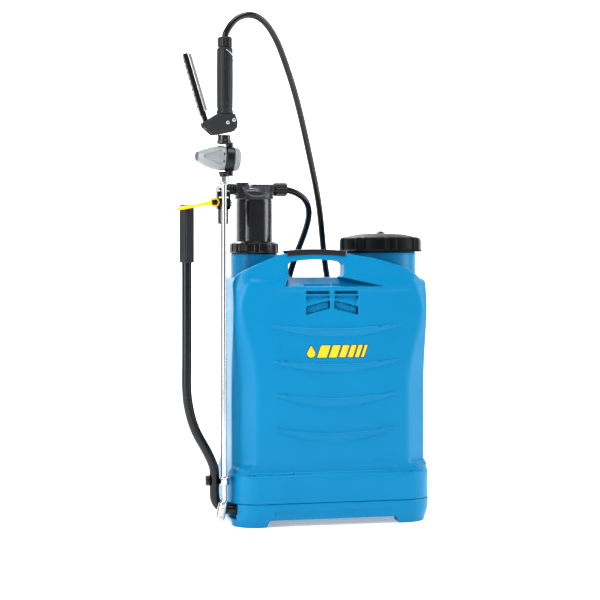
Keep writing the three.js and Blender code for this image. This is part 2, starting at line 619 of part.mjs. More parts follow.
function addGun() {
  const { x, radius, bottom, top } = GRIP;
  const y = LANCE.y;
  add('neck_nut', cut(
    join(disc(11.5, 660.3, 676, 24), disc(12.5, 661, 667, 24)),
    disc(8 + GAP, 650, 665 + GAP, 20),
  ), black, [LANCE.x, y, 0]);

  // The housing is a block with an ear on each side, and the trigger's hub turns between the ears.
  const outline = [[-228, 692], [-226, 699], [-219.4, 702], [-205.2, 712], [-175.6, 712], [-170.5, 701.8],
    [-171.8, 691.6], [-183.4, 680], [-192, 676.3], [-207, 676.3], [-216, 682]];
  const ears = [-11.5, 8].map((from) => upright(outline, y + from, y + from + 3.5));
  const core = upright(
    [[-207, 676.3], [-207, 706], [-205.2, 712], [-175.6, 712], [-170.5, 701.8], [-171.8, 691.6], [-183.4, 680],
      [-192, 676.3]],
    y - 9,
    y + 9,
  );
  const pin = alongY(disc(2.5, 0, 20, 14), TRIGGER.x, y - 10, TRIGGER.z);
  const rivets = [[-187, 697], [-176.5, 701.5]];
  const rivetHoles = rivets.map(([rx, rz]) => alongY(disc(2.4 + GAP, 0, 30, 12), rx, y - 15, rz));
  add('trigger_housing', cut(join(...ears, core, pin), ...rivetHoles), black);
  rivets.forEach(([rx, rz], i) => {
    const rivet = turned([[0, -1], [3.2, -0.4], [3.2, 0], [2.4, 0], [2.4, 23], [0, 23]], 14);
    add(`housing_rivet_${i + 1}`, alongY(rivet, rx, y - 11.5 - GAP, rz), chrome);
  });

  const grip = turned(
    [[0, bottom], [radius + 1, bottom], [radius + 1, bottom + 6], [radius - 0.4, bottom + 8],
      [radius - 0.4, top - 30], [radius, top - 8], [radius - 1.5, top - 1], [9, top - 1], [9, top + 3],
      [0, top + 3]],
    28,
  );
  const ear = box([-2.5, radius - 2, top - 8], [2.5, radius + 2.5, top - 3]);
  const gripWithEars = join(ear, box([-2.5, -radius - 2.5, top - 8], [2.5, -radius + 2, top - 3]));
  add('gun_grip', join(grip, gripWithEars), rubber, [x, y, 0]);
  const nut = turned(
    [[9 + GAP, top], [12.2, top], [12.2, top + 16], [10.5, top + 18], [HOSE.radius + GAP, top + 18],
      [HOSE.radius + GAP, top + 4], [9 + GAP, top + 4], [9 + GAP, top]],
    24,
  );
  const knurls = Array.from({ length: 8 }, (_, i) =>
    box([11, -1.8, top + 2], [13, 1.8, top + 14]).rotateZ((i / 8) * 2 * Math.PI),
  );
  add('hose_nut', join(nut, ...knurls), black, [x, y, 0]);

  // A bail that hooks over the squeezed trigger hangs on two small studs near the grip's top.
  const catchZ = top - 5.5;
  const bail = bar(
    [[0, -radius - 3.9, 0], [6, -radius - 3.9, -5], [15, -radius + 1, -14], [19.5, 0, -20],
      [15, radius - 1, -14], [6, radius + 3.9, -5], [0, radius + 3.9, 0]],
    1,
    { sides: 3, steps: 28 },
  );
  add('trigger_catch', bail, chrome, [x, y, catchZ]);
}

function addTrigger() {
  const { x, z, tipX, tipZ } = TRIGGER;
  const y = LANCE.y;
  const length = Math.hypot(tipX - x, tipZ - z);
  const angle = Math.atan2(tipX - x, tipZ - z);
  const hub = alongY(ring(7.5, 2.5 + GAP, -7, 7, 20), 0, 0, 0);
  const shank = box([-7, -7, 4], [1, 7, 24]);
  const channel = box([-7, -9, 20], [2, 9, length]);
  const lever = cut(join(hub, shank, channel), alongY(disc(2.5 + GAP, -20, 20, 14), 0, 0, 0));
  add('trigger_lever', lever, black, [x, y, z], [0, angle, 0]);
  const strip = box([2 + GAP, -7, 20], [4.6, 7, length - 2]);
  add('trigger_strip', strip, chrome, [x, y, z], [0, angle, 0]);
}

// ---------------------------------------------------------------- hose

// One hose, as two pieces that meet inside the clip on the tank's back.
function addHose() {
  const [cx, cy, cz] = HOSE.clip;
  const clip = join(
    ring(10, HOSE.radius + 0.6, -8, 8, 20).translate(cx, cy, cz),
    box([cx - 6, TANK.halfDepth + GAP, cz - 8], [cx + 6, cy - 7, cz + 8]),
  );
  add('hose_clip', clip, black);

  // Each bend that is tighter than the rest is an arc: off the pump, behind the tank and over the grip.
  const bend = HOSE.bend;
  const radians = (degrees) => (degrees * Math.PI) / 180;
  const drop = [0, 22.5, 45, 67.5, 90].map(radians).map((angle) => {
    const fallen = bend * (1 - Math.cos(angle));
    return [-64 + bend * Math.sin(angle), 0.55 * fallen, OUTLET_Z - 0.835 * fallen];
  });
  const turn = [0, 20, 40, 60, 80, 100, 120, 140, 160, 180].map((degrees) =>
    [-bend * Math.cos(radians(degrees)), 105 + degrees / 45, 292 - bend * Math.sin(radians(degrees))]);
  const crest = [112.5, 90, 67.5, 45, 22.5, 0].map((degrees) => [
    GRIP.x + bend * (1 - Math.cos(radians(degrees))),
    LANCE.y + 15 * (degrees / 90) ** 2,
    GRIP.top + 15 + bend * Math.sin(radians(degrees)),
  ]);

  const loop = [
    [PUMP.x + 38.5, 0, OUTLET_Z], [-75, 0, OUTLET_Z], ...drop, [-16.5, 44, 528], [-20, 65, 504], [-27, 85, 477],
    [-36, 99, 444], [-44, 105, 405], [-bend, 105.5, 368], [cx, cy, cz + GAP],
  ];
  const run = [
    [cx, cy, cz - GAP], ...turn, [bend, 112, 330], [44.5, 116.5, 385], [33, 112, 440], [23, 96, 498],
    [14, 80, 553], [3, 66, 599], [-11, 50, 647], [-22, 36, 683], [-38, 17, 732], [-53, 0, 772],
    [-71, -19, 811], [-88, -35, 846], [-106, -49, 870], ...crest, [GRIP.x, LANCE.y, GRIP.top + 5],
  ];
  add('hose_loop', bar(loop, HOSE.radius, { sides: 4, steps: 30 }), rubber);
  add('hose_run', bar(run, HOSE.radius, { sides: 4, steps: 70 }), rubber);
}

// ---------------------------------------------------------------- harness

// Each shoulder strap is a pad, a ladder buckle and a tail of webbing down to the base.
function addStrap(side, sign) {
  const { x, width, thickness, y, top, bottom } = STRAP;
  const middle = sign * x;
  const padFrom = y - thickness / 2;
  const padTo = y + thickness / 2 + 4;
  const pad = new THREE.Shape(
    [[padFrom, bottom], [padTo - 5, bottom], [padTo, bottom + 30], [padTo + 8, 300], [padTo, top - 20],
      [padTo - 5, top], [padFrom, top], [padFrom + 8, 300]].map(([py, pz]) => new THREE.Vector2(py, pz)),
  );
  const padSolid = new THREE.ExtrudeGeometry(pad, { depth: width, bevelEnabled: false })
    .rotateX(Math.PI / 2).rotateZ(Math.PI / 2).translate(middle - width / 2, 0, 0);
  add(`strap_pad_${side}`, padSolid, webbing);
  const buckle = cut(
    box([middle - 25, y - 3, bottom - 32], [middle + 25, y + 3, bottom - GAP]),
    box([middle - 20, y - 10, bottom - 12], [middle + 20, y + 10, bottom - 6]),
    box([middle - 20, y - 10, bottom - 26], [middle + 20, y + 10, bottom - 20]),
  );
  add(`strap_buckle_${side}`, buckle, black);
  const tail = box([middle - 19, y + 3 + GAP, 62], [middle + 19, y + 5.5, bottom - 8]);
  add(`strap_webbing_${side}`, tail, webbing);
}

addTank();
addBase();
addBaseScrews();
addHandleGrip();
addFiller();
addPumpHousing();
addPumpChamber();
addYokeArm();
addPumpRod();
addLever();
addShaftBushes();
addLeverClip();
addLance();
addRegulator();
addGun();
addTrigger();
addHose();
addStrap('left', -1);
addStrap('right', 1);

// ---------------------------------------------------------------- move the origin under the object

// The hose hangs free, so it takes no part in finding the middle.
const extent = new THREE.Box3();
sprayer.children
  .filter(({ name }) => !['hose_loop', 'hose_run'].includes(name))
  .forEach((mesh) => extent.expandByObject(mesh, true));
const middle = extent.getCenter(new THREE.Vector3());
sprayer.position.set(-middle.x, -middle.y, -extent.min.z);

export default sprayer;
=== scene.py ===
"""The looks of a knapsack sprayer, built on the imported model: tank, base, pump, lever, hose, lance and gun.

Shapes are worked out in millimetres from the tank's own centre at floor level, as in the CAD, and are moved
to the frame's metres when each mesh is made.
"""

import math
from functools import partial, reduce

import bpy
import numpy as np
from mathutils import Matrix, Vector


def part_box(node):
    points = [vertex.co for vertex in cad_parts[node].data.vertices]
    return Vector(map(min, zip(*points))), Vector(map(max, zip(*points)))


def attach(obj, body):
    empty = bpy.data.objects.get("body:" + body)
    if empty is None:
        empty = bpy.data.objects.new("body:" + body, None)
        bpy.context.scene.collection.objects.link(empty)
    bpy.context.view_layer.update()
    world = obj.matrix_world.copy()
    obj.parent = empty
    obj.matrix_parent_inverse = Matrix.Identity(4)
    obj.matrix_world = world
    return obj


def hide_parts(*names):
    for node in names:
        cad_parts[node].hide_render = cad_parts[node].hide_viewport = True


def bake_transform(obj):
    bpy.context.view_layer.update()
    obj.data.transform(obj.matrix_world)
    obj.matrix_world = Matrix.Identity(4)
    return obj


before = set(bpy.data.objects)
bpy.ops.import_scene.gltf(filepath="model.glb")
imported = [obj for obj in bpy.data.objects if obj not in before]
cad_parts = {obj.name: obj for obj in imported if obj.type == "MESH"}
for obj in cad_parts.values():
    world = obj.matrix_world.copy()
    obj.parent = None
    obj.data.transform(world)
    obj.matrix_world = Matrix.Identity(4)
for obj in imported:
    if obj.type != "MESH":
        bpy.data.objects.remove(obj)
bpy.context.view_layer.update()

MM = 0.001
base_low, base_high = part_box("base")
ORIGIN = Vector(((base_low[0] + base_high[0]) / 2, (base_low[1] + base_high[1]) / 2, 0.0))

# ---- dimensions, in millimetres

SEAM = 41.0  # where the tank meets its base
FLANGE_TOP = 86.0
DECK = 429.0
BASE_HALF = (181.0, 101.0)
BASE_CORNER = 50.0
TRUNK_HALF = (174.0, 92.5)
FRONT = -TRUNK_HALF[1]
WALL = 4.0
NECK_FOOT = 400.0  # both necks start inside the tank
FILLER_X = 109.0
FILLER_NECK = (64.0, 475.0, 60.0, 493.0)  # the neck's radius and top, then its thread's
FILLER_BORE = (55.0, 51.0, 470.0)  # the wide and narrow radius, and the height between them
PUMP_X = -124.0
PUMP_NECK = (41.5, 472.0, 39.2, 485.0)  # as for the filler's neck
PUMP_BORE = 37.0
PIPE_Z = 587.0  # height of the pipe through the pump's head
VENTS_X = -2.5
RIBS_X = 5.0
HANDLE = (-80.0, 19.0, 431.0, 462.0)  # the opening's left, right, bottom and top
PIVOT = (-68.0, 30.0)  # y and z of the lever's axis
CRANK = 51.0  # from the lever's axis to its bolt in the rod
ROD_X = -190.5
ROD_PIN_Z = 560.0
CLIP_HUB = (-207.6, 560.8)  # x and z
LANCE = (-191.6, -85.0)  # x and y
HOSE_RADIUS = 5.8
GRIP_X = -190.4
TRIGGER_PIN = (-219.0, 692.0)  # x and z, as for the next two
TRIGGER_TIP = (-255.6, 815.5)
TRIGGER_LEAN = math.atan2(TRIGGER_TIP[0] - TRIGGER_PIN[0], TRIGGER_TIP[1] - TRIGGER_PIN[1])
RIVETS = [(-187.0, 697.0), (-176.5, 701.5)]  # x and z, in the trigger's housing
CATCH_Z = 821.5


def metres(point):
    return Vector(point) * MM + ORIGIN


# ---- camera, floor and light


CAMERA_EYE = (-599.9, -2632.7, 478.8)  # in millimetres, as for the shapes
CAMERA_YAW = math.radians(12)
CAMERA_SHIFT = -50 / 600
CAMERA_LENS = 90


def make_camera():
    """The view is a little to the left of the front, level with the tank's top, with a long lens."""
    camera_data = bpy.data.cameras.new("camera")
    camera_data.lens = CAMERA_LENS
    camera_data.sensor_width = 36
    camera_data.shift_y = CAMERA_SHIFT
    camera = bpy.data.objects.new("camera", camera_data)
    camera.location = metres(CAMERA_EYE)
    camera.rotation_euler = (math.pi / 2, 0, -CAMERA_YAW)
    bpy.context.scene.collection.objects.link(camera)
    bpy.context.scene.camera = camera


FLOOR_GLOW = {"floor": 0.3, "lit_wall": 1.0}


def make_floor():
    """A pale floor, in metres, that curves up into a pale wall."""
    half, back, rise, bend = 6.0, 2.2, 4.0, 1.0
    profile = [(-half, 0.0)]
    for i in range(13):
        angle = i / 12 * math.pi / 2
        profile.append((back + bend * math.sin(angle), bend * (1 - math.cos(angle))))
    profile.append((back + bend, rise))
    verts = [(x, y, z) for y, z in profile for x in (-half, half)]
    faces = [(2 * i, 2 * i + 1, 2 * i + 3, 2 * i + 2) for i in range(len(profile) - 1)]
    mesh = bpy.data.meshes.new("floor")
    mesh.from_pydata(verts, [], faces)
    for face in mesh.polygons:
        face.use_smooth = True
    floor = bpy.data.objects.new("floor", mesh)
    bpy.context.scene.collection.objects.link(floor)
    for name, glow in FLOOR_GLOW.items():
        material = bpy.data.materials.new(name)
        material.use_nodes = True
        shader = material.node_tree.nodes["Principled BSDF"]
        shader.inputs["Base Color"].default_value = (0.95, 0.95, 0.95, 1)
        shader.inputs["Roughness"].default_value = 0.9
        shader.inputs["Specular IOR Level"].default_value = 0.1
        shader.inputs["Emission Color"].default_value = (1, 1, 1, 1)
        shader.inputs["Emission Strength"].default_value = glow
        mesh.materials.append(material)
    for face in mesh.polygons:
        face.material_index = 1 if face.center.y > back else 0


# Each light's place and size in metres, and its power in watts.
LIGHTS = {
    "left_box": ((-1.7, -1.15, 1.0), (0.7, 1.9), 30),
    "right_box": ((1.9, -0.5, 1.0), (1.0, 1.9), 25),
    "top": ((0.0, -0.55, 2.2), (1.4, 0.9), 19),
    "rear_top": ((-0.3, 1.3, 1.9), (1.2, 0.8), 34),
}
LIT_POINT = Vector((0, 0, 0.45))
WORLD_STRENGTH = 0.38


def make_lights():
    for name, (place, size, power) in LIGHTS.items():
        data = bpy.data.lights.new(name, "AREA")
        data.shape = "RECTANGLE"
        data.size, data.size_y = size
        data.energy = power
        light = bpy.data.objects.new(name, data)
        light.location = place
        light.rotation_euler = (LIT_POINT - Vector(place)).to_track_quat("-Z", "Y").to_euler()
        bpy.context.scene.collection.objects.link(light)
    world = bpy.data.worlds.new("world")
    world.use_nodes = True
    background = world.node_tree.nodes["Background"]
    background.inputs["Color"].default_value = (1, 1, 1, 1)
    background.inputs["Strength"].default_value = WORLD_STRENGTH
    bpy.context.scene.world = world
    bpy.context.scene.view_settings.view_transform = "Standard"
    bpy.context.scene.view_settings.look = "Medium High Contrast"


# ---- materials


class Nodes:
    """A short way to add and join shader nodes."""

    def __init__(self, name):
        self.material = bpy.data.materials.new(name)
        self.material.use_nodes = True
        self.tree = self.material.node_tree
        self.shader = self.tree.nodes["Principled BSDF"]
        self.place = self.add("ShaderNodeTexCoord").outputs["Object"]

    def add(self, kind, **inputs):
        node = self.tree.nodes.new(kind)
        for key, value in inputs.items():
            target = node.inputs[key] if key in node.inputs else None
            if target is None:
                setattr(node, key, value)
            elif isinstance(value, bpy.types.NodeSocket):
                self.tree.links.new(value, target)
            else:
                target.default_value = value
        return node

    def noise(self, scale, detail):
        return self.add("ShaderNodeTexNoise", Vector=self.place, Scale=scale, Detail=detail)

    def ramp(self, factor, low, high, start, end):
        node = self.add("ShaderNodeValToRGB", Fac=factor)
        stops = node.color_ramp.elements
        stops[0].position, stops[1].position = start, end
        stops[0].color, stops[1].color = low, high
        return node.outputs["Color"]

    def spread(self, factor, low, high):
        node = self.add("ShaderNodeMapRange", Value=factor)
        node.inputs["To Min"].default_value = low
        node.inputs["To Max"].default_value = high
        return node.outputs["Result"]

    def bump(self, height, strength, distance):
        node = self.add("ShaderNodeBump", Height=height)
        node.inputs["Strength"].default_value = strength
        node.inputs["Distance"].default_value = distance
        self.tree.links.new(node.outputs["Normal"], self.shader.inputs["Normal"])

    def set(self, **inputs):
        for key, value in inputs.items():
            socket = self.shader.inputs[key.replace("_", " ")]
            if isinstance(value, bpy.types.NodeSocket):
                self.tree.links.new(value, socket)
            else:
                socket.default_value = value


def moulded(name, colour, darker, roughness, grain, grain_strength, shine, coat):
    """Moulded plastic: slight clouding in colour and gloss, and a fine skin."""
    nodes = Nodes(name)
    clouds = nodes.noise(9.0, 4.0).outputs["Fac"]
    smears = nodes.noise(38.0, 5.0).outputs["Fac"]
    nodes.set(Base_Color=nodes.ramp(clouds, (*darker, 1), (*colour, 1), 0.25, 0.75))
    nodes.set(Roughness=nodes.spread(smears, roughness - 0.05, roughness + 0.07))
    nodes.bump(nodes.noise(grain, 2.0).outputs["Fac"], grain_strength, 0.0004)
    nodes.set(Specular_IOR_Level=shine)
    if coat:
        nodes.set(Coat_Weight=coat, Coat_Roughness=0.12)
    return nodes.material


def metal(name, colour, roughness):
    """Plated or plain metal: faint drawing lines, and smears in its gloss."""
    nodes = Nodes(name)
    smears = nodes.noise(60.0, 4.0).outputs["Fac"]
    clouds = nodes.noise(14.0, 3.0).outputs["Fac"]
    darker = tuple(0.86 * c for c in colour)
    nodes.set(Metallic=1.0)
    nodes.set(Base_Color=nodes.ramp(clouds, (*darker, 1), (*colour, 1), 0.3, 0.7))
    nodes.set(Roughness=nodes.spread(smears, roughness - 0.05, roughness + 0.08))
    nodes.bump(nodes.noise(1800.0, 2.0).outputs["Fac"], 0.04, 0.0002)
    return nodes.material


def woven(name, colour, threads, roughness):
    """Cloth: two crossing sets of threads, a soft sheen, and slow patches of wear."""
    nodes = Nodes(name)
    lighter = tuple(2.6 * c for c in colour)
    waves = []
    for direction in ("X", "Z"):
        wave = nodes.add("ShaderNodeTexWave", Vector=nodes.place, Scale=threads / 3, Distortion=0.6)
        wave.bands_direction = direction
        waves.append(wave.outputs["Fac"])
    weave = nodes.add("ShaderNodeMath", operation="MULTIPLY")
    for socket, wave in zip(weave.inputs, waves):
        nodes.tree.links.new(wave, socket)
    wear = nodes.noise(26.0, 4.0).outputs["Fac"]
    tone = nodes.add("ShaderNodeMath", operation="MULTIPLY")
    nodes.tree.links.new(weave.outputs["Value"], tone.inputs[0])
    nodes.tree.links.new(wear, tone.inputs[1])
    nodes.set(Base_Color=nodes.ramp(tone.outputs["Value"], (*colour, 1), (*lighter, 1), 0.05, 0.55))
    nodes.set(Roughness=nodes.spread(wear, roughness - 0.06, roughness + 0.1))
    nodes.set(Sheen_Weight=0.35, Sheen_Roughness=0.4)
    nodes.bump(weave.outputs["Value"], 0.5, 0.0006)
    return nodes.material


# Each plastic's name, lighter colour, darker colour, roughness, grain, grain strength, shine and coat.
PLASTICS = {
    "blue": ("blue_plastic", (0.0, 0.205, 0.405), (0.0, 0.19, 0.38), 0.33, 700, 0.05, 0.22, 0.0),
    "black": ("black_plastic",
        (0.0065, 0.0068, 0.0078), (0.0042, 0.0045, 0.0054), 0.27, 800, 0.08, 0.38, 0.0),
    "lid_black": ("lid_black_plastic",
        (0.0065, 0.0068, 0.0078), (0.0042, 0.0045, 0.0054), 0.42, 800, 0.08, 0.1, 0.0),
    # The next black is made lighter, greyer and glossier as a painted reflection on the pump's head, which is
    # black plastic like the rest.
    "slate": ("slate_plastic", (0.026, 0.029, 0.034), (0.019, 0.0215, 0.026), 0.3, 800, 0.08, 0.5, 0.0),
    "charcoal": ("charcoal_plastic",
        (0.028, 0.029, 0.031), (0.02, 0.021, 0.023), 0.42, 1100, 0.22, 0.35, 0.0),
    "gloss_black": ("gloss_black",
        (0.007, 0.0075, 0.0095), (0.005, 0.0053, 0.007), 0.2, 500, 0.02, 0.5, 0.35),
    "rubber": ("black_rubber",
        (0.014, 0.0152, 0.019), (0.0095, 0.0105, 0.0135), 0.42, 1300, 0.2, 0.35, 0.0),
    "hose": ("hose_rubber", (0.0065, 0.007, 0.0095), (0.0045, 0.0048, 0.0068), 0.17, 600, 0.05, 0.45, 0.0),
    "paint": ("dark_paint", (0.0075, 0.0082, 0.0105), (0.005, 0.0055, 0.0075), 0.24, 1500, 0.1, 0.35, 0.12),
    "grey": ("grey_plastic", (0.25, 0.268, 0.28), (0.215, 0.232, 0.245), 0.36, 900, 0.06, 0.5, 0.0),
    "dark_grey": ("dark_grey_plastic",
        (0.09, 0.11, 0.118), (0.07, 0.088, 0.095), 0.38, 900, 0.08, 0.5, 0.0),
    "yellow": ("yellow_plastic", (0.9, 0.54, 0.008), (0.85, 0.5, 0.006), 0.36, 900, 0.06, 0.5, 0.0),
    "natural": ("natural_plastic", (0.6, 0.58, 0.5), (0.55, 0.53, 0.46), 0.42, 700, 0.05, 0.5, 0.0),
    "red": ("red_plastic", (0.75, 0.01, 0.015), (0.68, 0.008, 0.012), 0.35, 900, 0.06, 0.5, 0.0),
    "thread": ("thread", (0.09, 0.095, 0.1), (0.06, 0.065, 0.07), 0.7, 3000, 0.3, 0.5, 0.0),
}

# Each metal's name, colour and roughness.
METALS = {
    "chrome": ("chromed_metal", (0.52, 0.53, 0.55), 0.13),
    "steel": ("stainless_steel", (0.62, 0.62, 0.61), 0.3),
}

# Each cloth's name, colour, threads and roughness.
CLOTHS = {
    "webbing": ("webbing", (0.012, 0.012, 0.013), 700.0, 0.62),
    "pad_cloth": ("pad_cloth", (0.016, 0.0165, 0.018), 900.0, 0.78),
    "binding": ("binding_tape", (0.01, 0.01, 0.011), 1200.0, 0.66),
}

# The slot for each material that a new piece may have.
SLOTS = {
    "blue_plastic": ("blue",),
    "black_plastic": ("black", "lid_black", "slate", "charcoal", "gloss_black"),
    "black_rubber": ("rubber", "hose"),
    "painted_steel": ("paint",),
    "grey_plastic": ("grey", "dark_grey", "red"),
    "yellow_plastic": ("yellow",),
    "chromed_brass": ("chrome",),
    "stainless_steel": ("steel",),
    "strap_fabric": ("webbing", "pad_cloth", "binding", "thread"),
}

materials = {}


def make_materials():
    for maker, rows in ((moulded, PLASTICS), (metal, METALS), (woven, CLOTHS)):
        for key, row in rows.items():
            materials[key] = maker(*row)


# ---- making meshes


def make_piece(name, shape, material, body, node=None, smooth=35.0, slot=None):
    """A mesh from a shape's millimetre points and faces. It rides on a body, and may stand for a CAD node."""
    verts, faces = shape
    mesh = bpy.data.meshes.new(name)
    points = np.asarray(verts, dtype=np.float64) * MM + np.array(ORIGIN)
    mesh.from_pydata(points.tolist(), [], [tuple(face) for face in faces])
    mesh.update()
    return finish_piece(name, mesh, material, body, node, smooth, slot)


def finish_piece(name, mesh, material, body, node, smooth, slot=None):
    piece = bpy.data.objects.new(name, mesh)
    bpy.context.scene.collection.objects.link(piece)
    mesh.materials.append(materials[material])
    for face in mesh.polygons:
        face.use_smooth = True
    if smooth < 180:
        mesh.set_sharp_from_angle(angle=math.radians(smooth))
    if body:
        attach(piece, body)
    slot or next(key for key, users in SLOTS.items() if material in users)
    if node:
        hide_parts(node)
    return piece


# ---- surfaces from a distance function


def smoothstep(low, high, value):
    t = np.clip((value - low) / (high - low), 0.0, 1.0)
    return t * t * (3.0 - 2.0 * t)


def all_of(*shapes):
    """The overlap of several shapes, with sharp edges."""
    return reduce(np.maximum, shapes)


def round_both(a, b, radius):
    """The overlap of two shapes, with its edge rounded."""
    inside = np.minimum(np.maximum(a, b), -radius)
    return inside + np.hypot(np.maximum(a + radius, 0.0), np.maximum(b + radius, 0.0))


def blend_either(a, b, radius):
    """The union of two shapes, with a fillet where they meet."""
    h = np.clip(0.5 + 0.5 * (b - a) / radius, 0.0, 1.0)
    return b + (a - b) * h - radius * h * (1.0 - h)


def cut_out(shape, tool, radius):
    return round_both(shape, -tool, radius)


def rounded_rectangle(x, y, half_x, half_y, radius):
    qx = np.abs(x) - (half_x - radius)
    qy = np.abs(y) - (half_y - radius)
    outside = np.hypot(np.maximum(qx, 0.0), np.maximum(qy, 0.0))
    return outside + np.minimum(np.maximum(qx, qy), 0.0) - radius


def surface_net(shape, low, high, step):
    """The surface where shape(x, y, z) is zero, as points and four-sided faces."""
    axes = [np.arange(a, b + step, step) for a, b in zip(low, high)]
    counts = [len(axis) for axis in axes]
    field = np.empty(counts, dtype=np.float32)
    gx, gy = np.meshgrid(axes[0], axes[1], indexing="ij")
    slab = 12
    for start in range(0, counts[2], slab):
        levels = axes[2][start:start + slab]
        x = np.broadcast_to(gx[:, :, None], (*gx.shape, len(levels)))
        y = np.broadcast_to(gy[:, :, None], x.shape)
        z = np.broadcast_to(levels[None, None, :], x.shape)
        field[:, :, start:start + slab] = shape(x, y, z)
    inside = field < 0

    corners = [(i, j, k) for i in (0, 1) for j in (0, 1) for k in (0, 1)]
    total = np.zeros([n - 1 for n in counts], dtype=np.uint8)
    for i, j, k in corners:
        total += inside[i:counts[0] - 1 + i, j:counts[1] - 1 + j, k:counts[2] - 1 + k]
    active = np.argwhere((total > 0) & (total < 8))
    number = -np.ones(total.shape, dtype=np.int64)
    number[tuple(active.T)] = np.arange(len(active))

    points = np.zeros((len(active), 3))
    weight = np.zeros(len(active))
    for a in corners:
        for axis in range(3):
            if a[axis]:
                continue
            b = list(a)
            b[axis] = 1
            fa = field[tuple((active + a).T)]
            fb = field[tuple((active + b).T)]
            crossing = (fa < 0) != (fb < 0)
            share = np.where(crossing, fa / np.where(crossing, fa - fb, 1.0), 0.0)
            place = active + np.array(a, dtype=float)
            place[:, axis] += share
            points += place * crossing[:, None]
            weight += crossing
    points = points / weight[:, None] * step + np.array([axis[0] for axis in axes])

    faces = []
    for axis in range(3):
        u, v = [(1, 2), (2, 0), (0, 1)][axis]
        first = np.take(inside, range(counts[axis] - 1), axis=axis)
        second = np.take(inside, range(1, counts[axis]), axis=axis)
        edges = np.argwhere(first != second)
        edges = edges[(edges[:, u] > 0) & (edges[:, v] > 0)]
        edges = edges[(edges[:, u] < counts[u] - 1) & (edges[:, v] < counts[v] - 1)]
        leaving = first[tuple(edges.T)]
        ring = []
        for du, dv in ((1, 1), (0, 1), (0, 0), (1, 0)):
            cell = edges.copy()
            cell[:, u] -= du
            cell[:, v] -= dv
            ring.append(number[tuple(cell.T)])
        quad = np.stack(ring, axis=1)
        quad[~leaving] = quad[~leaving][:, ::-1]
        faces.append(quad)
    return points, np.concatenate(faces)


def settle(points, shape, rounds=3, reach=0.25, most=1.0):
    """Moves points onto the surface along the shape's slope."""
    for _ in range(rounds):
        x, y, z = points.T
        here = shape(x, y, z)
        slope = np.stack(
            [
                shape(x + reach, y, z) - shape(x - reach, y, z),
                shape(x, y + reach, z) - shape(x, y - reach, z),
                shape(x, y, z + reach) - shape(x, y, z - reach),
            ],
            axis=1,
        ) / (2 * reach)
        steep = np.maximum((slope**2).sum(axis=1), 0.25)
        move = -(here / steep)[:, None] * slope
        length = np.linalg.norm(move, axis=1)
        move *= np.minimum(1.0, most / np.maximum(length, 1e-6))[:, None]
        points = points + move
    return points


def piece_from_shape(name, shape, low, high, step, material, body, node, keep):
    """The surface of shape(x, y, z) within a box, as a piece. keep is the share of faces that stays."""
    points, faces = surface_net(shape, low, high, step)
    points = settle(points, shape) * MM + np.array(ORIGIN)
    mesh = bpy.data.meshes.new(name)
    mesh.vertices.add(len(points))
    mesh.vertices.foreach_set("co", points.ravel())
    mesh.loops.add(faces.size)
    mesh.loops.foreach_set("vertex_index", faces.ravel())
    mesh.polygons.add(len(faces))
    mesh.polygons.foreach_set("loop_start", np.arange(0, faces.size, 4))
    mesh.polygons.foreach_set("loop_total", np.full(len(faces), 4))
    mesh.update(calc_edges=True)
    mesh.validate()
    piece = finish_piece(name, mesh, material, body, node, smooth=180)
    thin = piece.modifiers.new("thin", "DECIMATE")
    thin.ratio = keep
    bpy.context.view_layer.objects.active = piece
    with bpy.context.temp_override(object=piece, active_object=piece):
        bpy.ops.object.modifier_apply(modifier=thin.name)


def grid(fine):
    return fine


# ---- tank


def smooth_curve(points, count=80):
    """Points along a smooth curve through the given ones."""
    points = np.array(points, dtype=float)
    ends = np.vstack([2 * points[0] - points[1], points, 2 * points[-1] - points[-2]])
    out = []
    spans = len(points) - 1
    for i in range(count + 1):
        t = i / count * spans
        k = min(int(t), spans - 1)
        t -= k
        p0, p1, p2, p3 = ends[k:k + 4]
        out.append(0.5 * (2 * p1 + (p2 - p0) * t + (2 * p0 - 5 * p1 + 4 * p2 - p3) * t**2
                   + (3 * p1 - p0 - 3 * p2 + p3) * t**3))
    return np.array(out)


ARCH = smooth_curve([
    (-180, 424), (-168, 434), (-157, 442), (-124, 458), (-83, 473), (-31, 477.5), (21, 472), (71, 465),
    (106, 456), (133, 447), (155, 434), (164, 424), (176, 405),
])

# Each rib on the front: half width, then the heights of its upper edge at the ends and in the middle, and
# of its lower edge.
RIBS = [(119, 350, 341, 328), (113, 288, 279, 267), (111, 231, 220, 207), (109, 171, 159, 146)]


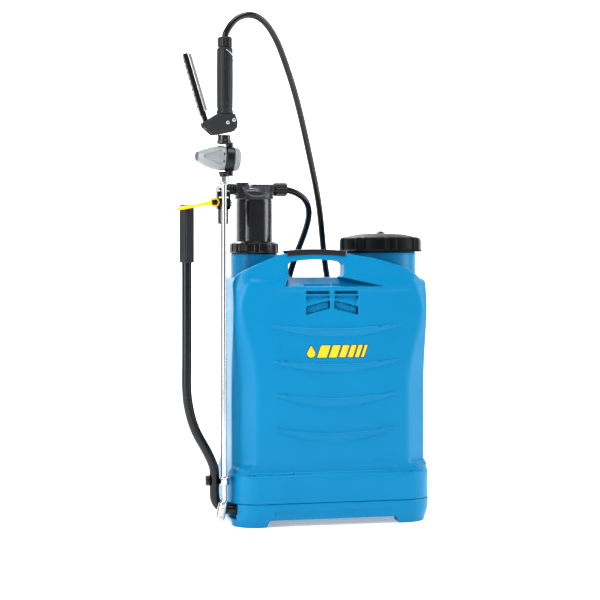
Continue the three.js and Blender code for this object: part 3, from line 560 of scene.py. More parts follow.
def front_relief(x, z):
    """How far the front face is set back, in millimetres, by its ribs, vents and label panel."""
    depth = np.zeros(np.broadcast(x, z).shape)
    for half, ends, middle, lower in RIBS:
        t = np.clip(np.abs(x - RIBS_X) / half, 0, 1.2)
        upper_edge = middle + (ends - middle) * t**2
        lower_edge = lower + (ends - lower - 3) * t**2
        span = np.maximum(upper_edge - lower_edge, 0.5)
        along = np.clip((upper_edge - z) / span, -1, 2)
        height = 2.6 * (1 - smoothstep(0.93, 1.0, t))
        band = (1 - np.clip(along, 0, 1)) * smoothstep(-0.09, 0.0, along) * (along < 1)
        depth -= height * band
        depth += 0.7 * height / 2.6 * np.exp(-(((z - lower_edge) / 1.1) ** 2))
    for side in (-1, 1):
        away = side * (x - VENTS_X)
        within = smoothstep(3.6, 4.8, away) * (1 - smoothstep(45.5, 46.7, away))
        slant = (away - 4) / 42
        floor, lip = 376.4 - 10.5 * slant, 391 - 11 * slant
        hood = 6.0 * np.clip((z - lip) / (399 - lip), 0, 1) * (1 - smoothstep(398.8, 400.2, z))
        pocket = 6.5 * (1 - smoothstep(lip - 0.9, lip + 0.5, z)) * smoothstep(floor - 0.6, floor + 2.4, z)
        depth += (hood + pocket) * within
    left, right = -98 + 0.15 * (340 - z), 105.5 - 0.12 * (340 - z)
    on_panel = (z > 289) & (z < 343)
    for edge in (left, right):
        depth += 0.6 * np.exp(-(((x - edge) / 0.9) ** 2)) * on_panel
    mark = np.hypot(x + 75, z - 97)
    depth -= 0.5 * np.exp(-(((mark - 7) / 1.0) ** 2))
    plate = rounded_rectangle(x - 92, z - 104, 22, 7, 2)
    depth -= 0.5 * (1 - smoothstep(-0.6, 0.6, plate))
    return depth


def from_shoulder(x, y, z):
    """Distance past the flat that slants across each upper corner of the front."""
    return (np.abs(x) - 138) * 0.6 - (y - FRONT) * 0.775 + (z - 442) * 0.198


def tank_trunk(x, y, z):
    """The tank's closed body, without its necks and handle."""
    side = smoothstep(FLANGE_TOP - 1, FLANGE_TOP + 24, z)
    front_step = smoothstep(FLANGE_TOP + 1, FLANGE_TOP + 9, z)
    half_x = BASE_HALF[0] - (BASE_HALF[0] - TRUNK_HALF[0]) * side
    step_back = BASE_HALF[1] - TRUNK_HALF[1]
    front = -BASE_HALF[1] + step_back * front_step
    back = BASE_HALF[1] - step_back * side
    front_corner = BASE_CORNER + (16 - BASE_CORNER) * side
    back_corner = BASE_CORNER + (34 - BASE_CORNER) * side
    corner = np.where(y < 0, front_corner, back_corner)
    near = (y < -60) & (z > FLANGE_TOP + 4)
    crown = 3.0 * (x / 150.0) ** 2 * front_step
    facet = (5 + 27 * (1 - smoothstep(235, 425, z))) * side
    from_facet = (np.abs(x) - half_x) * 0.625 - (y - front - facet - 2) * 0.78
    front = front + np.where(near, front_relief(x, z) * front_step, 0.0) + crown
    middle = (front + back) / 2
    walls = rounded_rectangle(x, y - middle, half_x, (back - front) / 2, corner)
    walls = np.where(side > 0.02, round_both(walls, from_facet, 4.0), walls)
    walls = np.where(z > 240, round_both(walls, from_shoulder(x, y, z), 3.5), walls)
    return round_both(round_both(walls, z - DECK, 11.0), SEAM + 0.3 - z, 1.6)


def ledge(y):
    """Height of the slope that runs back from the ledge on the front."""
    return 414.5 + 0.47 * (y - FRONT)


def scoop(x, y, z):
    """The space behind the handle, which slopes back from a ledge on the front."""
    left, right = HANDLE[:2]
    slope = (ledge(y) - z) * 0.9
    top = np.where(x > right, 431 - (x - right) * 0.215, 431.0)
    sides = np.maximum((left - 7 - x) + 0.4 * (z - 414), x - 98)
    return all_of(slope, z - top, sides)


def vents(x, y, z):
    """Two pairs of narrow slots: one pair in the front, and one in the slope above it."""
    across = np.abs(np.abs(x - VENTS_X) - 25.2) - 21.0
    front = all_of(across, np.abs(z - 405.0) - 2.3, y + 83)
    slope = all_of(across - 2.5, np.abs(y + 85) - 2.8, ledge(y) - 6.5 - z, z - ledge(y) - 1)
    return np.minimum(front, slope)


def stadium(x, z):
    left, right, bottom, top = HANDLE
    middle_x, middle_z = (left + right) / 2, (bottom + top) / 2
    droop = 5.0 * ((x - middle_x) / (right - middle_x)) ** 2 * smoothstep(middle_z, top, z)
    return rounded_rectangle(x - middle_x, z + droop - middle_z, (right - left) / 2, (top - bottom) / 2, 9.0)


def tank_shape(x, y, z):
    body = tank_trunk(x, y, z)

    top = np.interp(x, ARCH[:, 0], ARCH[:, 1])
    face = -92.2 + 3.0 * (x / 150.0) ** 2 + 0.13 * np.maximum(-90 - x, 0) + 0.16 * np.maximum(x - 128, 0)
    back = face + 16.0 + 19.0 * smoothstep(-104, -92, x) * (1 - smoothstep(30, 42, x))
    slab = np.maximum(face - y, y - back)
    shield = round_both((z - top) * 0.93, slab, 3.0)
    shield = round_both(round_both(shield, np.abs(x) - 172, 6.0), 409 - z, 2.0)
    shield = round_both(shield, from_shoulder(x, y, z), 3.5)
    body = blend_either(body, shield, 5.0)

    from_filler = np.hypot(x - FILLER_X, y)
    radius, top, thread_radius, thread_top = FILLER_NECK
    filler = round_both(from_filler - radius, z - top, 1.2)
    ridges = 0.8 * np.cos(z * 2 * math.pi / 5)
    thread = round_both(from_filler - thread_radius - ridges, z - thread_top, 1.0)
    neck = np.minimum(round_both(filler, NECK_FOOT - z, 1.0), round_both(thread, NECK_FOOT - z, 1.0))
    body = blend_either(body, neck, 6.0)
    from_pump = np.hypot(x - PUMP_X, y)
    radius, top, thread_radius, thread_top = PUMP_NECK
    pump = round_both(from_pump - radius, z - top, 1.0)
    pump = np.minimum(pump, round_both(from_pump - thread_radius, z - thread_top, 0.8))
    body = blend_either(body, round_both(pump, NECK_FOOT - z, 1.0), 6.0)

    # The hand's opening, the scoop below it and the vents.
    opening = round_both(stadium(x, z), y + 48, 1.0)
    body = cut_out(body, opening, 2.2)
    hollow_below = scoop(x, y, z)
    slots = vents(x, y, z)
    body = cut_out(body, hollow_below, 0.8)
    body = cut_out(body, slots, 0.4)

    # Hollow inside, and open at both necks.
    hollow = all_of(tank_trunk(x, y, z) + WALL, WALL - hollow_below, WALL - slots)
    body = cut_out(body, hollow, 1.0)
    wide, narrow, step = FILLER_BORE
    throat = np.where(z > step, wide, narrow)
    body = cut_out(body, np.maximum(from_filler - throat, NECK_FOOT - 10 - z), 0.5)
    return cut_out(body, np.maximum(from_pump - PUMP_BORE, NECK_FOOT - 10 - z), 0.5)


def make_tank():
    low, high = (-186, -106, 38), (186, 106, 498)
    piece_from_shape("tank_moulding", tank_shape, low, high, grid(1.8), "blue", "frame", "tank",
                     keep=0.45)


# ---- base


def base_shape(x, y, z):
    """A tray with a step round its skirt, four feet, and a pocket at the left for the lever."""
    taper = 8.0 * (1 - smoothstep(-4, 27, z))
    walls = rounded_rectangle(x, y, BASE_HALF[0] - taper, BASE_HALF[1] - taper, BASE_CORNER - taper)
    between_feet = (1 - smoothstep(104, 107, np.abs(x))) * (1 - smoothstep(27.2, 28.8, z))
    walls = walls + 1.8 * between_feet * (np.abs(y) > 70)
    tray = round_both(round_both(walls, z - SEAM, 1.4), -z, 1.2)
    inside = round_both(walls + WALL, z - (SEAM - WALL), 3.0)
    pad = np.maximum(118 - np.abs(x), 58 - np.abs(y))
    inside = round_both(inside, 14 - z, 1.0)
    room_under_deck = np.minimum(
        round_both(inside, z - 60, 1.0),
        np.maximum(round_both(walls + WALL, z - (SEAM - WALL), 3.0), -pad),
    )
    tray = cut_out(tray, room_under_deck, 0.6)
    slant_x = 113.5 + 5.0 * (1 - np.clip(z / 12, 0, 1))
    across = round_both(np.abs(x) - slant_x, z - 12, 2.5)
    along = round_both(np.abs(y) - 58, z - 12, 2.5)
    tray = cut_out(tray, across, 1.0)
    tray = cut_out(tray, along, 1.0)
    pocket_y, pocket_half = PIVOT[0], 19.0
    wall = all_of(-176 - x, x + 164, np.abs(y - pocket_y) - pocket_half - 4, 12 - z, z - SEAM, walls)
    tray = np.minimum(tray, wall)
    pocket = all_of(x + 168, y - (pocket_y + pocket_half), 14 - z)
    tray = cut_out(tray, pocket, 0.8)
    axle = np.maximum(np.hypot(y - PIVOT[0], z - PIVOT[1]) - 10.1, x - 160)
    return cut_out(tray, axle, 0.3)


def make_base():
    low, high = (-186, -106, -4), (186, 106, 46)
    piece_from_shape("base_moulding", base_shape, low, high, grid(1.5), "blue", "frame", "base",
                     keep=0.5)


# ---- turned, swept and flat pieces


def soften(profile, radius, closed=False):
    """A profile of (radius, height) points with its corners rounded."""
    points = [Vector(p) for p in profile]
    out = []
    count = len(points)
    for i, point in enumerate(points):
        if not closed and i in (0, count - 1):
            out.append(point)
            continue
        before, after = points[i - 1], points[(i + 1) % count]
        r = min(radius, (before - point).length * 0.45, (after - point).length * 0.45)
        start = point + (before - point).normalized() * r
        end = point + (after - point).normalized() * r
        for k in range(4):
            t = k / 3
            out.append(start * (1 - t) ** 2 + point * (2 * t * (1 - t)) + end * t**2)
    return [tuple(p) for p in out]


def turned(profile, segments, closed=False, relief=None):
    """Points and faces of a profile turned about Z. relief(angle, radius, height) is added to each radius."""
    verts, rows = [], []
    for radius, height in profile:
        if radius < 1e-6:
            rows.append([len(verts)] * segments)
            verts.append((0.0, 0.0, height))
            continue
        row = []
        for i in range(segments):
            angle = 2 * math.pi * i / segments
            r = radius + (relief(angle, radius, height) if relief else 0.0)
            row.append(len(verts))
            verts.append((r * math.cos(angle), r * math.sin(angle), height))
        rows.append(row)
    faces = []
    pairs = list(zip(rows, rows[1:])) + ([(rows[-1], rows[0])] if closed else [])
    for low, high in pairs:
        for i in range(segments):
            j = (i + 1) % segments
            face = [low[i], low[j], high[j], high[i]]
            face = [v for k, v in enumerate(face) if v != face[k - 1]]
            if len(face) > 2:
                faces.append(face)
    return verts, faces


def ribbed(count, depth, least, low=-math.inf, high=math.inf, power=1):
    """Relief for ribs round a turned piece, where its radius is at least so much and between two heights."""

    def relief(angle, radius, height):
        if radius < least or not low < height < high:
            return 0.0
        return depth * max(0.0, math.cos(angle * count)) ** power

    return relief


def lathe(profile, rounding, segments, closed=False, relief=None):
    """A profile with its corners rounded, turned about Z."""
    return turned(soften(profile, rounding, closed), segments, closed, relief)


def placed(shape, place=(0, 0, 0), turn=None):
    """The same points and faces, turned and moved."""
    verts, faces = shape
    matrix = Matrix.Translation(place) @ (turn or Matrix.Identity(4))
    return [tuple(matrix @ Vector(v)) for v in verts], faces


def together(*shapes):
    verts, faces = [], []
    for part_verts, part_faces in shapes:
        faces += [[v + len(verts) for v in face] for face in part_faces]
        verts += list(part_verts)
    return verts, faces


ALONG_X = Matrix.Rotation(math.pi / 2, 4, "Y")
ALONG_Y = Matrix.Rotation(-math.pi / 2, 4, "X")


def route(points, spacing=3.0):
    """Evenly spaced points along a smooth curve through the given ones."""
    fine = smooth_curve(points, count=40 * (len(points) - 1))
    steps = np.linalg.norm(np.diff(fine, axis=0), axis=1)
    along = np.concatenate([[0], np.cumsum(steps)])
    count = max(2, int(along[-1] / spacing))
    wanted = np.linspace(0, along[-1], count + 1)
    return np.stack([np.interp(wanted, along, fine[:, k]) for k in range(3)], axis=1)


def swept(path, radius, sides, bore=0.0):
    """A round bar along a path, or a tube if it has a bore."""
    path = np.asarray(path, dtype=float)
    tangents = np.gradient(path, axis=0)
    tangents /= np.linalg.norm(tangents, axis=1)[:, None]
    normal = Vector(tangents[0]).orthogonal().normalized()
    verts, faces = [], []
    rings = []
    for point, tangent in zip(path, tangents):
        tangent = Vector(tangent)
        normal = (normal - tangent * normal.dot(tangent)).normalized()
        other = tangent.cross(normal)
        row = []
        for r in ([radius, bore] if bore else [radius]):
            for i in range(sides):
                angle = 2 * math.pi * i / sides
                row.append(len(verts))
                verts.append(tuple(Vector(point) + r * (normal * math.cos(angle) + other * math.sin(angle))))
        rings.append(row)
    for a, b in zip(rings, rings[1:]):
        for i in range(sides):
            j = (i + 1) % sides
            faces.append([a[i], a[j], b[j], b[i]])
            if bore:
                faces.append([a[sides + j], a[sides + i], b[sides + i], b[sides + j]])
    if bore:
        for row, flip in ((rings[0], False), (rings[-1], True)):
            for i in range(sides):
                j = (i + 1) % sides
                face = [row[i], row[sides + i], row[sides + j], row[j]]
                faces.append(face[::-1] if flip else face)
    else:
        faces += [rings[0][::-1], rings[-1]]
    return verts, faces


def block(low, high):
    verts = [(x, y, z) for x in (low[0], high[0]) for y in (low[1], high[1]) for z in (low[2], high[2])]
    faces = [[0, 1, 3, 2], [4, 6, 7, 5], [0, 4, 5, 1], [2, 3, 7, 6], [0, 2, 6, 4], [1, 5, 7, 3]]
    return verts, faces


def bevelled(piece, width):
    bevel = piece.modifiers.new("bevel", "BEVEL")
    bevel.width = width * MM
    bevel.segments = 3
    bevel.limit_method = "ANGLE"
    bevel.angle_limit = math.radians(30)


def hexagon(across, low, high, bore=0.0, chamfer=1.2, turn=0.0):
    """A chamfered nut about Z: the corners are turned down to a circle at both ends."""
    corner = across / math.sqrt(3)
    segments = 72

    def relief(angle, radius, height):
        if radius < across / 2 - 0.01:
            return 0.0
        within = (angle - turn + math.pi / 6) % (math.pi / 3) - math.pi / 6
        flat = across / 2 / math.cos(within)
        near_end = max(0.0, chamfer - min(height - low, high - height)) / chamfer
        limit = corner - (corner - across / 2 + 0.2) * near_end
        return min(flat, limit) - radius

    face = across / 2
    heights = [low, low + 0.25 * chamfer, low + 0.6 * chamfer, low + chamfer]
    heights += [high - chamfer, high - 0.6 * chamfer, high - 0.25 * chamfer, high]
    outer = [(face, h) for h in heights]
    return turned([(bore, low), *outer, (bore, high)], segments, closed=bore > 0, relief=relief)


# ---- filler


def rib_pairs(angle, pairs=8, apart=0.1, width=0.042):
    """1 on a rib and 0 between, for ribs that stand in pairs round a cap."""
    step = 2 * math.pi / pairs
    within = (angle + step / 2) % step - step / 2
    return max(0.0, 1 - ((abs(within) - apart) / width) ** 2)


def make_filler():
    rim = 74.4

    def relief(angle, radius, height):
        if radius < 62 or height < 477.5:
            return 0.0
        return 2.4 * rib_pairs(angle) * min(1.0, (radius - 62) / 8)

    profile = [(0, 496), (61, 496), (61, 475.6), (rim + 0.8, 475.6), (rim + 0.8, 477.2), (rim - 2.2, 479.5),
               (rim - 2.2, 496), (rim - 4, 500.5), (rim - 9, 502.6), (rim - 14, 502.4), (rim - 17, 504.0),
               (40, 507.5), (15, 509), (5, 509.2), (0, 509.2)]
    cap = placed(lathe(profile, 2.0, 288, relief=relief), (FILLER_X, 0, 0))
    make_piece("lid_moulding", cap, "lid_black", "lid", "lid", smooth=50)

    vent = placed(lathe([(0, 492), (3.9, 492), (3.9, 509.4), (7.5, 509.4), (7.2, 511), (4.2, 511.6),
                  (3.4, 513), (0, 513.2)], 0.7, 40), (FILLER_X, 0, 0))
    make_piece("vent_button", vent, "black", "lid", "vent_valve")


# ---- pump


def make_pump():
    at = (PUMP_X, 0, 0)

    def nut_relief(angle, radius, height):
        if radius < 40 or not 476 < height < 490.5:
            return 0.0
        within = (angle * 14 / (2 * math.pi)) % 1.0
        return 1.3 * smoothstep(0.1, 0.2, within) * (1 - smoothstep(0.56, 0.66, within))

    nut = lathe([(39.7, 472.6), (44.6, 472.6), (44.6, 474.6), (42.0, 476.2), (42.0, 488), (40.8, 491),
                (37.4, 492.6), (36, 494), (33.4, 494), (33.4, 490), (39.7, 489.7)], 0.8, 252, closed=True,
                relief=nut_relief)
    make_piece("collar_nut", placed(nut, at), "black", "frame", "pump_collar_nut", smooth=50)

    chamber = lathe([(8.3, 314), (31, 314), (32.5, 317), (32.5, 566), (31.9, 568), (32.5, 570), (32.5, 577),
                    (29.5, 577), (29.5, 318), (8.3, 318)], 0.8, 96, closed=True)
    make_piece("chamber_shell", placed(chamber, at), "gloss_black", "pump_chamber", "pressure_chamber")

    outlet = lathe([(10.4, 0), (12.2, 0), (12.4, 2.6), (11.6, 3.4), (11.8, 20), (10.5, 23), (7.5, 24),
                   (6.3, 24), (6.3, 3), (10.4, 3)], 0.7, 96, closed=True, relief=ribbed(8, 1.0, 9, low=2.99,
                   power=2))
    make_piece("outlet_cap_nut", placed(outlet, (PUMP_X + 36, 0, PIPE_Z), ALONG_X), "black", "pump_chamber",
               "outlet_nut", smooth=50)


def capsule(x, y, z, a, b, radius):
    """Distance to a round bar from a to b."""
    a, b = np.array(a, dtype=float), np.array(b, dtype=float)
    span = b - a
    t = ((x - a[0]) * span[0] + (y - a[1]) * span[1] + (z - a[2]) * span[2]) / (span @ span)
    t = np.clip(t, 0, 1)
    dx, dy, dz = x - a[0] - t * span[0], y - a[1] - t * span[1], z - a[2] - t * span[2]
    return np.sqrt(dx**2 + dy**2 + dz**2) - radius


def solid_box(x, y, z, low, high, radius):
    """Distance to a box with rounded edges."""
    q = [np.abs(v - (a + b) / 2) - (b - a) / 2 + radius for v, a, b in zip((x, y, z), low, high)]
    outside = np.sqrt(sum(np.maximum(k, 0) ** 2 for k in q))
    return outside + np.minimum(all_of(q[0], q[1], q[2]), 0) - radius


def head_shape(x, y, z):
    """The pump's head: a cap with a cross pipe, a crescent saddle on the front and a block on the left."""
    r = np.hypot(x - PUMP_X, y)
    cap = round_both(round_both(r - 34.0, z - 583.5, 3.0), 569.6 - z, 0.8)
    lip = round_both(r - 34.9, np.abs(z - 571) - 1.4, 0.6)
    body = np.minimum(cap, lip)
    dome = round_both(round_both(r - 28.0, z - 588, 5.0), 580 - z, 1.0)
    body = blend_either(body, dome, 2.0)
    pipe = round_both(np.hypot(y, z - PIPE_Z) - 9.6, np.maximum(-158.8 - x, x + 86.2), 1.0)
    body = blend_either(body, pipe, 3.0)
    slab = round_both(np.abs(y) - 17, all_of(-141 - x, x + 92, np.abs(z - 586) - 9), 1.6)
    body = blend_either(body, slab, 1.5)
    oval = (np.sqrt(((x - PUMP_X) / 26) ** 2 + ((z - 592) / 21) ** 2) - 1) * 21
    slant = ((-y - 17) + (z - 591.5)) / 1.414
    saddle = all_of(oval, slant, z - 591, y + 8)
    body = blend_either(body, saddle, 0.8)
    body = np.minimum(body, solid_box(x, y, z, (-157, -13.5, 578), (-135.5, 13.5, 598.6), 1.4))
    notch = solid_box(x, y, z, (-135.5, -30, 591), (-131, 30, 604), 0.5)
    body = cut_out(body, notch, 0.6)
    chamber = np.maximum(r - 32.6, z - 577.3)
    body = cut_out(body, chamber, 0.2)
    spigot = all_of(r - 29.2, 571 - z, z - 578)
    body = np.minimum(body, spigot)
    bore = np.minimum(
        np.maximum(np.hypot(y, z - PIPE_Z) - 5, -145 - x),
        np.maximum(r - 5, z - PIPE_Z),
    )
    return cut_out(body, bore, 0.3)


def arm_shape(x, y, z):
    """The elbow from the head to the rod's fork, with the stub that the yellow clip turns on."""
    middle_y = PIVOT[0]
    line = [(-159.5, 0, 587), (-170, 0, 587), (-179, -5, 587), (-186, -16, 586), (-189.5, -34, 584),
            (-190.5, -62, 580)]
    knuckle = np.maximum(np.hypot(y, z - PIPE_Z) - 10.2 - 0.5 * np.cos(x * 2 * math.pi / 4.2),
                         np.abs(x + 167.3) - 8)
    body = knuckle
    for a, b in zip(line, line[1:]):
        body = blend_either(body, capsule(x, y, z, a, b, 8.6), 2.0)
    body = np.maximum(body, x + 159.3)
    hood = np.hypot(y - middle_y, np.maximum(z - 572, 0)) - 9.5
    hood = round_both(np.maximum(hood, 549 - z), np.abs(x - ROD_X) - 11.8, 2.4)
    body = blend_either(body, hood, 3.0)
    lug = solid_box(x, y, z, (-212.0, middle_y - 9, 556.4), (-200, middle_y - 1, 565.2), 1.6)
    body = blend_either(body, lug, 1.5)
    slot_room = solid_box(x, y, z, (ROD_X - 8.9, -90, 540), (ROD_X + 8.9, -50, 570.8), 0.3)
    body = cut_out(body, slot_room, 0.4)
    stub = round_both(np.hypot(x - CLIP_HUB[0], z - CLIP_HUB[1]) - 4.6, np.maximum(-88.0 - y, y + 75), 0.6)
    body = np.minimum(body, stub)
    return cut_out(body, np.hypot(y - middle_y, z - ROD_PIN_Z) - 4.3, 0.3)


def rod_shape(x, y, z):
    middle_y = PIVOT[0]
    across = np.hypot(x - ROD_X, y - middle_y)
    eye_z = PIVOT[1] + CRANK
    shank = round_both(across - 4.5, np.maximum(eye_z - z, z - 530), 0.2)
    socket = round_both(across - 8.8, np.maximum(524.2 - z, z - 560), 1.4)
    socket = socket - 0.45 * (np.cos(np.arctan2(y - middle_y, x - ROD_X) * 10) > 0.2) * (z < 553)
    top = round_both(np.hypot(y - middle_y, z - ROD_PIN_Z) - 8.8, np.abs(x - ROD_X) - 8.6, 1.2)
    eye = round_both(np.hypot(y - middle_y, z - eye_z) - 8.0, np.abs(x - ROD_X) - 3.4, 0.8)
    body = blend_either(blend_either(shank, eye, 3.0), blend_either(socket, top, 1.5), 2.0)
    body = cut_out(body, np.hypot(y - middle_y, z - ROD_PIN_Z) - 4.3, 0.3)
    return cut_out(body, np.hypot(y - middle_y, z - eye_z) - 4.3, 0.3)


def make_pump_arm():
    step = grid(0.9)
    # The head's lighter grey-black colour is a painted reflection: the head is black plastic.
    piece_from_shape("head_moulding", head_shape, (-162, -38, 568), (-83, 38, 602), step, "slate",
                     "pump_chamber", "pump_head", keep=0.6)
    piece_from_shape("arm_moulding", arm_shape, (-216, -92, 544), (-156, 14, 602), step, "black",
                     "pump_chamber", "yoke_arm", keep=0.6)
    piece_from_shape("rod_forging", rod_shape, (-202, -80, 68), (-179, -56, 572), step, "paint", "pump_rod",
                     "pump_rod", keep=0.5)


# ---- lever


LEVER_X = -254.0  # the grip's axis
LEVER_BEND = 26.0  # radius of the tube's bend into the base
CRANK_X = -206.0


def make_lever():
    y, axle_z = PIVOT
    bend = [
        (CRANK_X + LEVER_BEND * (1 - math.cos(a)), y, axle_z + LEVER_BEND * (1 - math.sin(a)))
        for a in (math.pi / 8, math.pi / 4, 3 * math.pi / 8)
    ]
    points = [
        (LEVER_X, y, 553), (LEVER_X, y, 400), (LEVER_X, y, 300), (LEVER_X, y, 238), (LEVER_X + 5, y, 200),
        (-238, y, 166), (-219, y, 131), (-208, y, 106), (CRANK_X, y, 88), (CRANK_X, y, 70),
        (CRANK_X, y, axle_z + LEVER_BEND), *bend, (CRANK_X + LEVER_BEND, y, axle_z), (-165, y, axle_z),
        (-140, y, axle_z),
    ]
    tube = swept(route(points, 4.0), 8.4, 28, bore=6.4)
    make_piece("lever_bent_tube", tube, "paint", "lever", "lever_tube", smooth=60)

    heights = [457, 458.5, 461, 463.5, 465] + list(range(470, 546, 6)) + [546, 548, 553, 556]
    outer = [(11.4, 457), (12.5, 458.5)] + [(12.5, h) for h in heights[2:-2]] + [(12.3, 553.5), (10.8, 556.3)]
    grip = turned([(8.7, 457), *outer, (6.5, 557), (0, 557), (0, 553.4), (8.7, 553.4)], 112, closed=True,
                  relief=ribbed(14, -0.55, 11, 463, 546, power=2))
    make_piece("lever_hand_grip", placed(grip, (LEVER_X, y, 0)), "rubber", "lever", "lever_grip", smooth=40)

    head = hexagon(16, -7, -0.4, chamfer=1.6, turn=math.pi / 6)
    washer = lathe([(4.2, -0.9), (9.4, -0.9), (9.4, -0.1), (4.2, -0.1)], 0.2, 48, closed=True)
    shank = lathe([(0, -1), (4, -1), (4, 18.6), (3.6, 19), (0, 19)], 0.3, 32)
    bolt = placed(together(head, washer, shank), (CRANK_X - 8.7, y, axle_z + CRANK), ALONG_X)
    make_piece("crank_bolt", bolt, "black", "lever", "lever_bolt", smooth=30)


def clip_shape(x, y, z):
    """The yellow clip: a hub, a tapering arm and an open loop round the lever's grip, drooping a little."""
    droop = math.radians(10.5)
    dx, dz = x - CLIP_HUB[0], z - CLIP_HUB[1]
    u = dx * math.cos(droop) + dz * math.sin(droop)
    w = -dx * math.sin(droop) + dz * math.cos(droop)
    reach = LEVER_X - CLIP_HUB[0]
    hub = round_both(np.hypot(u, w) - 8.3, np.abs(y + 81.1) - 3.3, 0.9)
    around = np.hypot(u - reach, y - PIVOT[0])
    loop = round_both(np.abs(around - 16.6) - 2.0, np.abs(w) - 2.6, 0.9)
    loop = np.maximum(loop, (y - PIVOT[0]) - 4.2)
    arm_half = 2.1 + 2.6 * np.clip((u - reach) / -reach, 0, 1) ** 1.5
    arm = round_both(np.abs(y + 84.3) - 2.1, np.abs(w) - arm_half, 0.8)
    arm = all_of(arm, u + 5, reach - 20 - u)
    body = blend_either(blend_either(hub, arm, 2.0), loop, 2.0)
    groove = np.maximum(np.hypot(u, w) - 6.6, np.abs(y + 84.6) - 0.5)
    body = cut_out(body, groove, 0.3)
    return cut_out(body, np.hypot(u, w) - 5.0, 0.4)


def make_clip():
    step = grid(0.7)
    piece_from_shape("clip_moulding", clip_shape, (-280, -90, 536), (-196, -58, 572), step, "yellow",
                     "lever_clip", "lever_clip", keep=0.6)


# ---- lance, regulator and gun


def make_lance():
    x, y = LANCE
    lean = math.radians(12.4)
    nozzle = Vector((-193.0, y, 45.5))
    down = Vector((-math.sin(lean), 0, -math.cos(lean)))
    points = [(x, y, 604), (x, y, 400), (x, y, 200), (x, y, 84), (x - 0.1, y, 68)]
    points += [tuple(nozzle - down * 9), tuple(nozzle - down * 1), tuple(nozzle + down * 7)]
    tube = swept(route(points, 6.0), 4.3, 28, bore=3.0)
    make_piece("lance_pipe", tube, "chrome", "gun", "lance_tube", smooth=60)

    low = together(hexagon(16, 75.6, 86.2, bore=4.6, turn=0.35), lathe([(4.6, 86.2), (7.4, 86.2), (7.0, 90.2),
                   (4.6, 90.4)], 0.5, 48, closed=True))
    make_piece("lance_nut_low", placed(low, (x, y, 0)), "chrome", "gun", "lance_lower_nut", smooth=25)
    high = together(hexagon(16, 595, 604.9, bore=4.6, turn=0.2), lathe([(4.6, 590.6), (7.6, 590.8),
                    (8.2, 592.5), (7.8, 595), (4.6, 595)], 0.5, 48, closed=True))
    make_piece("lance_nut_high", placed(high, (x, y, 0)), "chrome", "gun", "lance_upper_nut", smooth=25)

    cap = lathe([(5.3, 0), (6.8, 0), (8, -2), (8, -8), (7.7, -8.8), (8, -9.4), (8, -23.5), (7.7, -24.2),
                (8, -25), (7.8, -28), (6.4, -31.4), (4.6, -32), (3.4, -30.6), (1.2, -30.6), (1.2, -10),
                (5.3, -10)], 0.5, 120, closed=True, relief=ribbed(20, -0.25, 7.5, -24, -9))
    make_piece("nozzle_shell", placed(cap, nozzle, Matrix.Rotation(lean, 4, "Y")), "chrome", "nozzle",
               "nozzle_cap", smooth=40)


# The regulator's place, and the turn that lays it across the lance.
REGULATOR = ((-181.4, -85.0, 635.5), Matrix.Rotation(math.pi / 2 + math.radians(4), 4, "Y"))


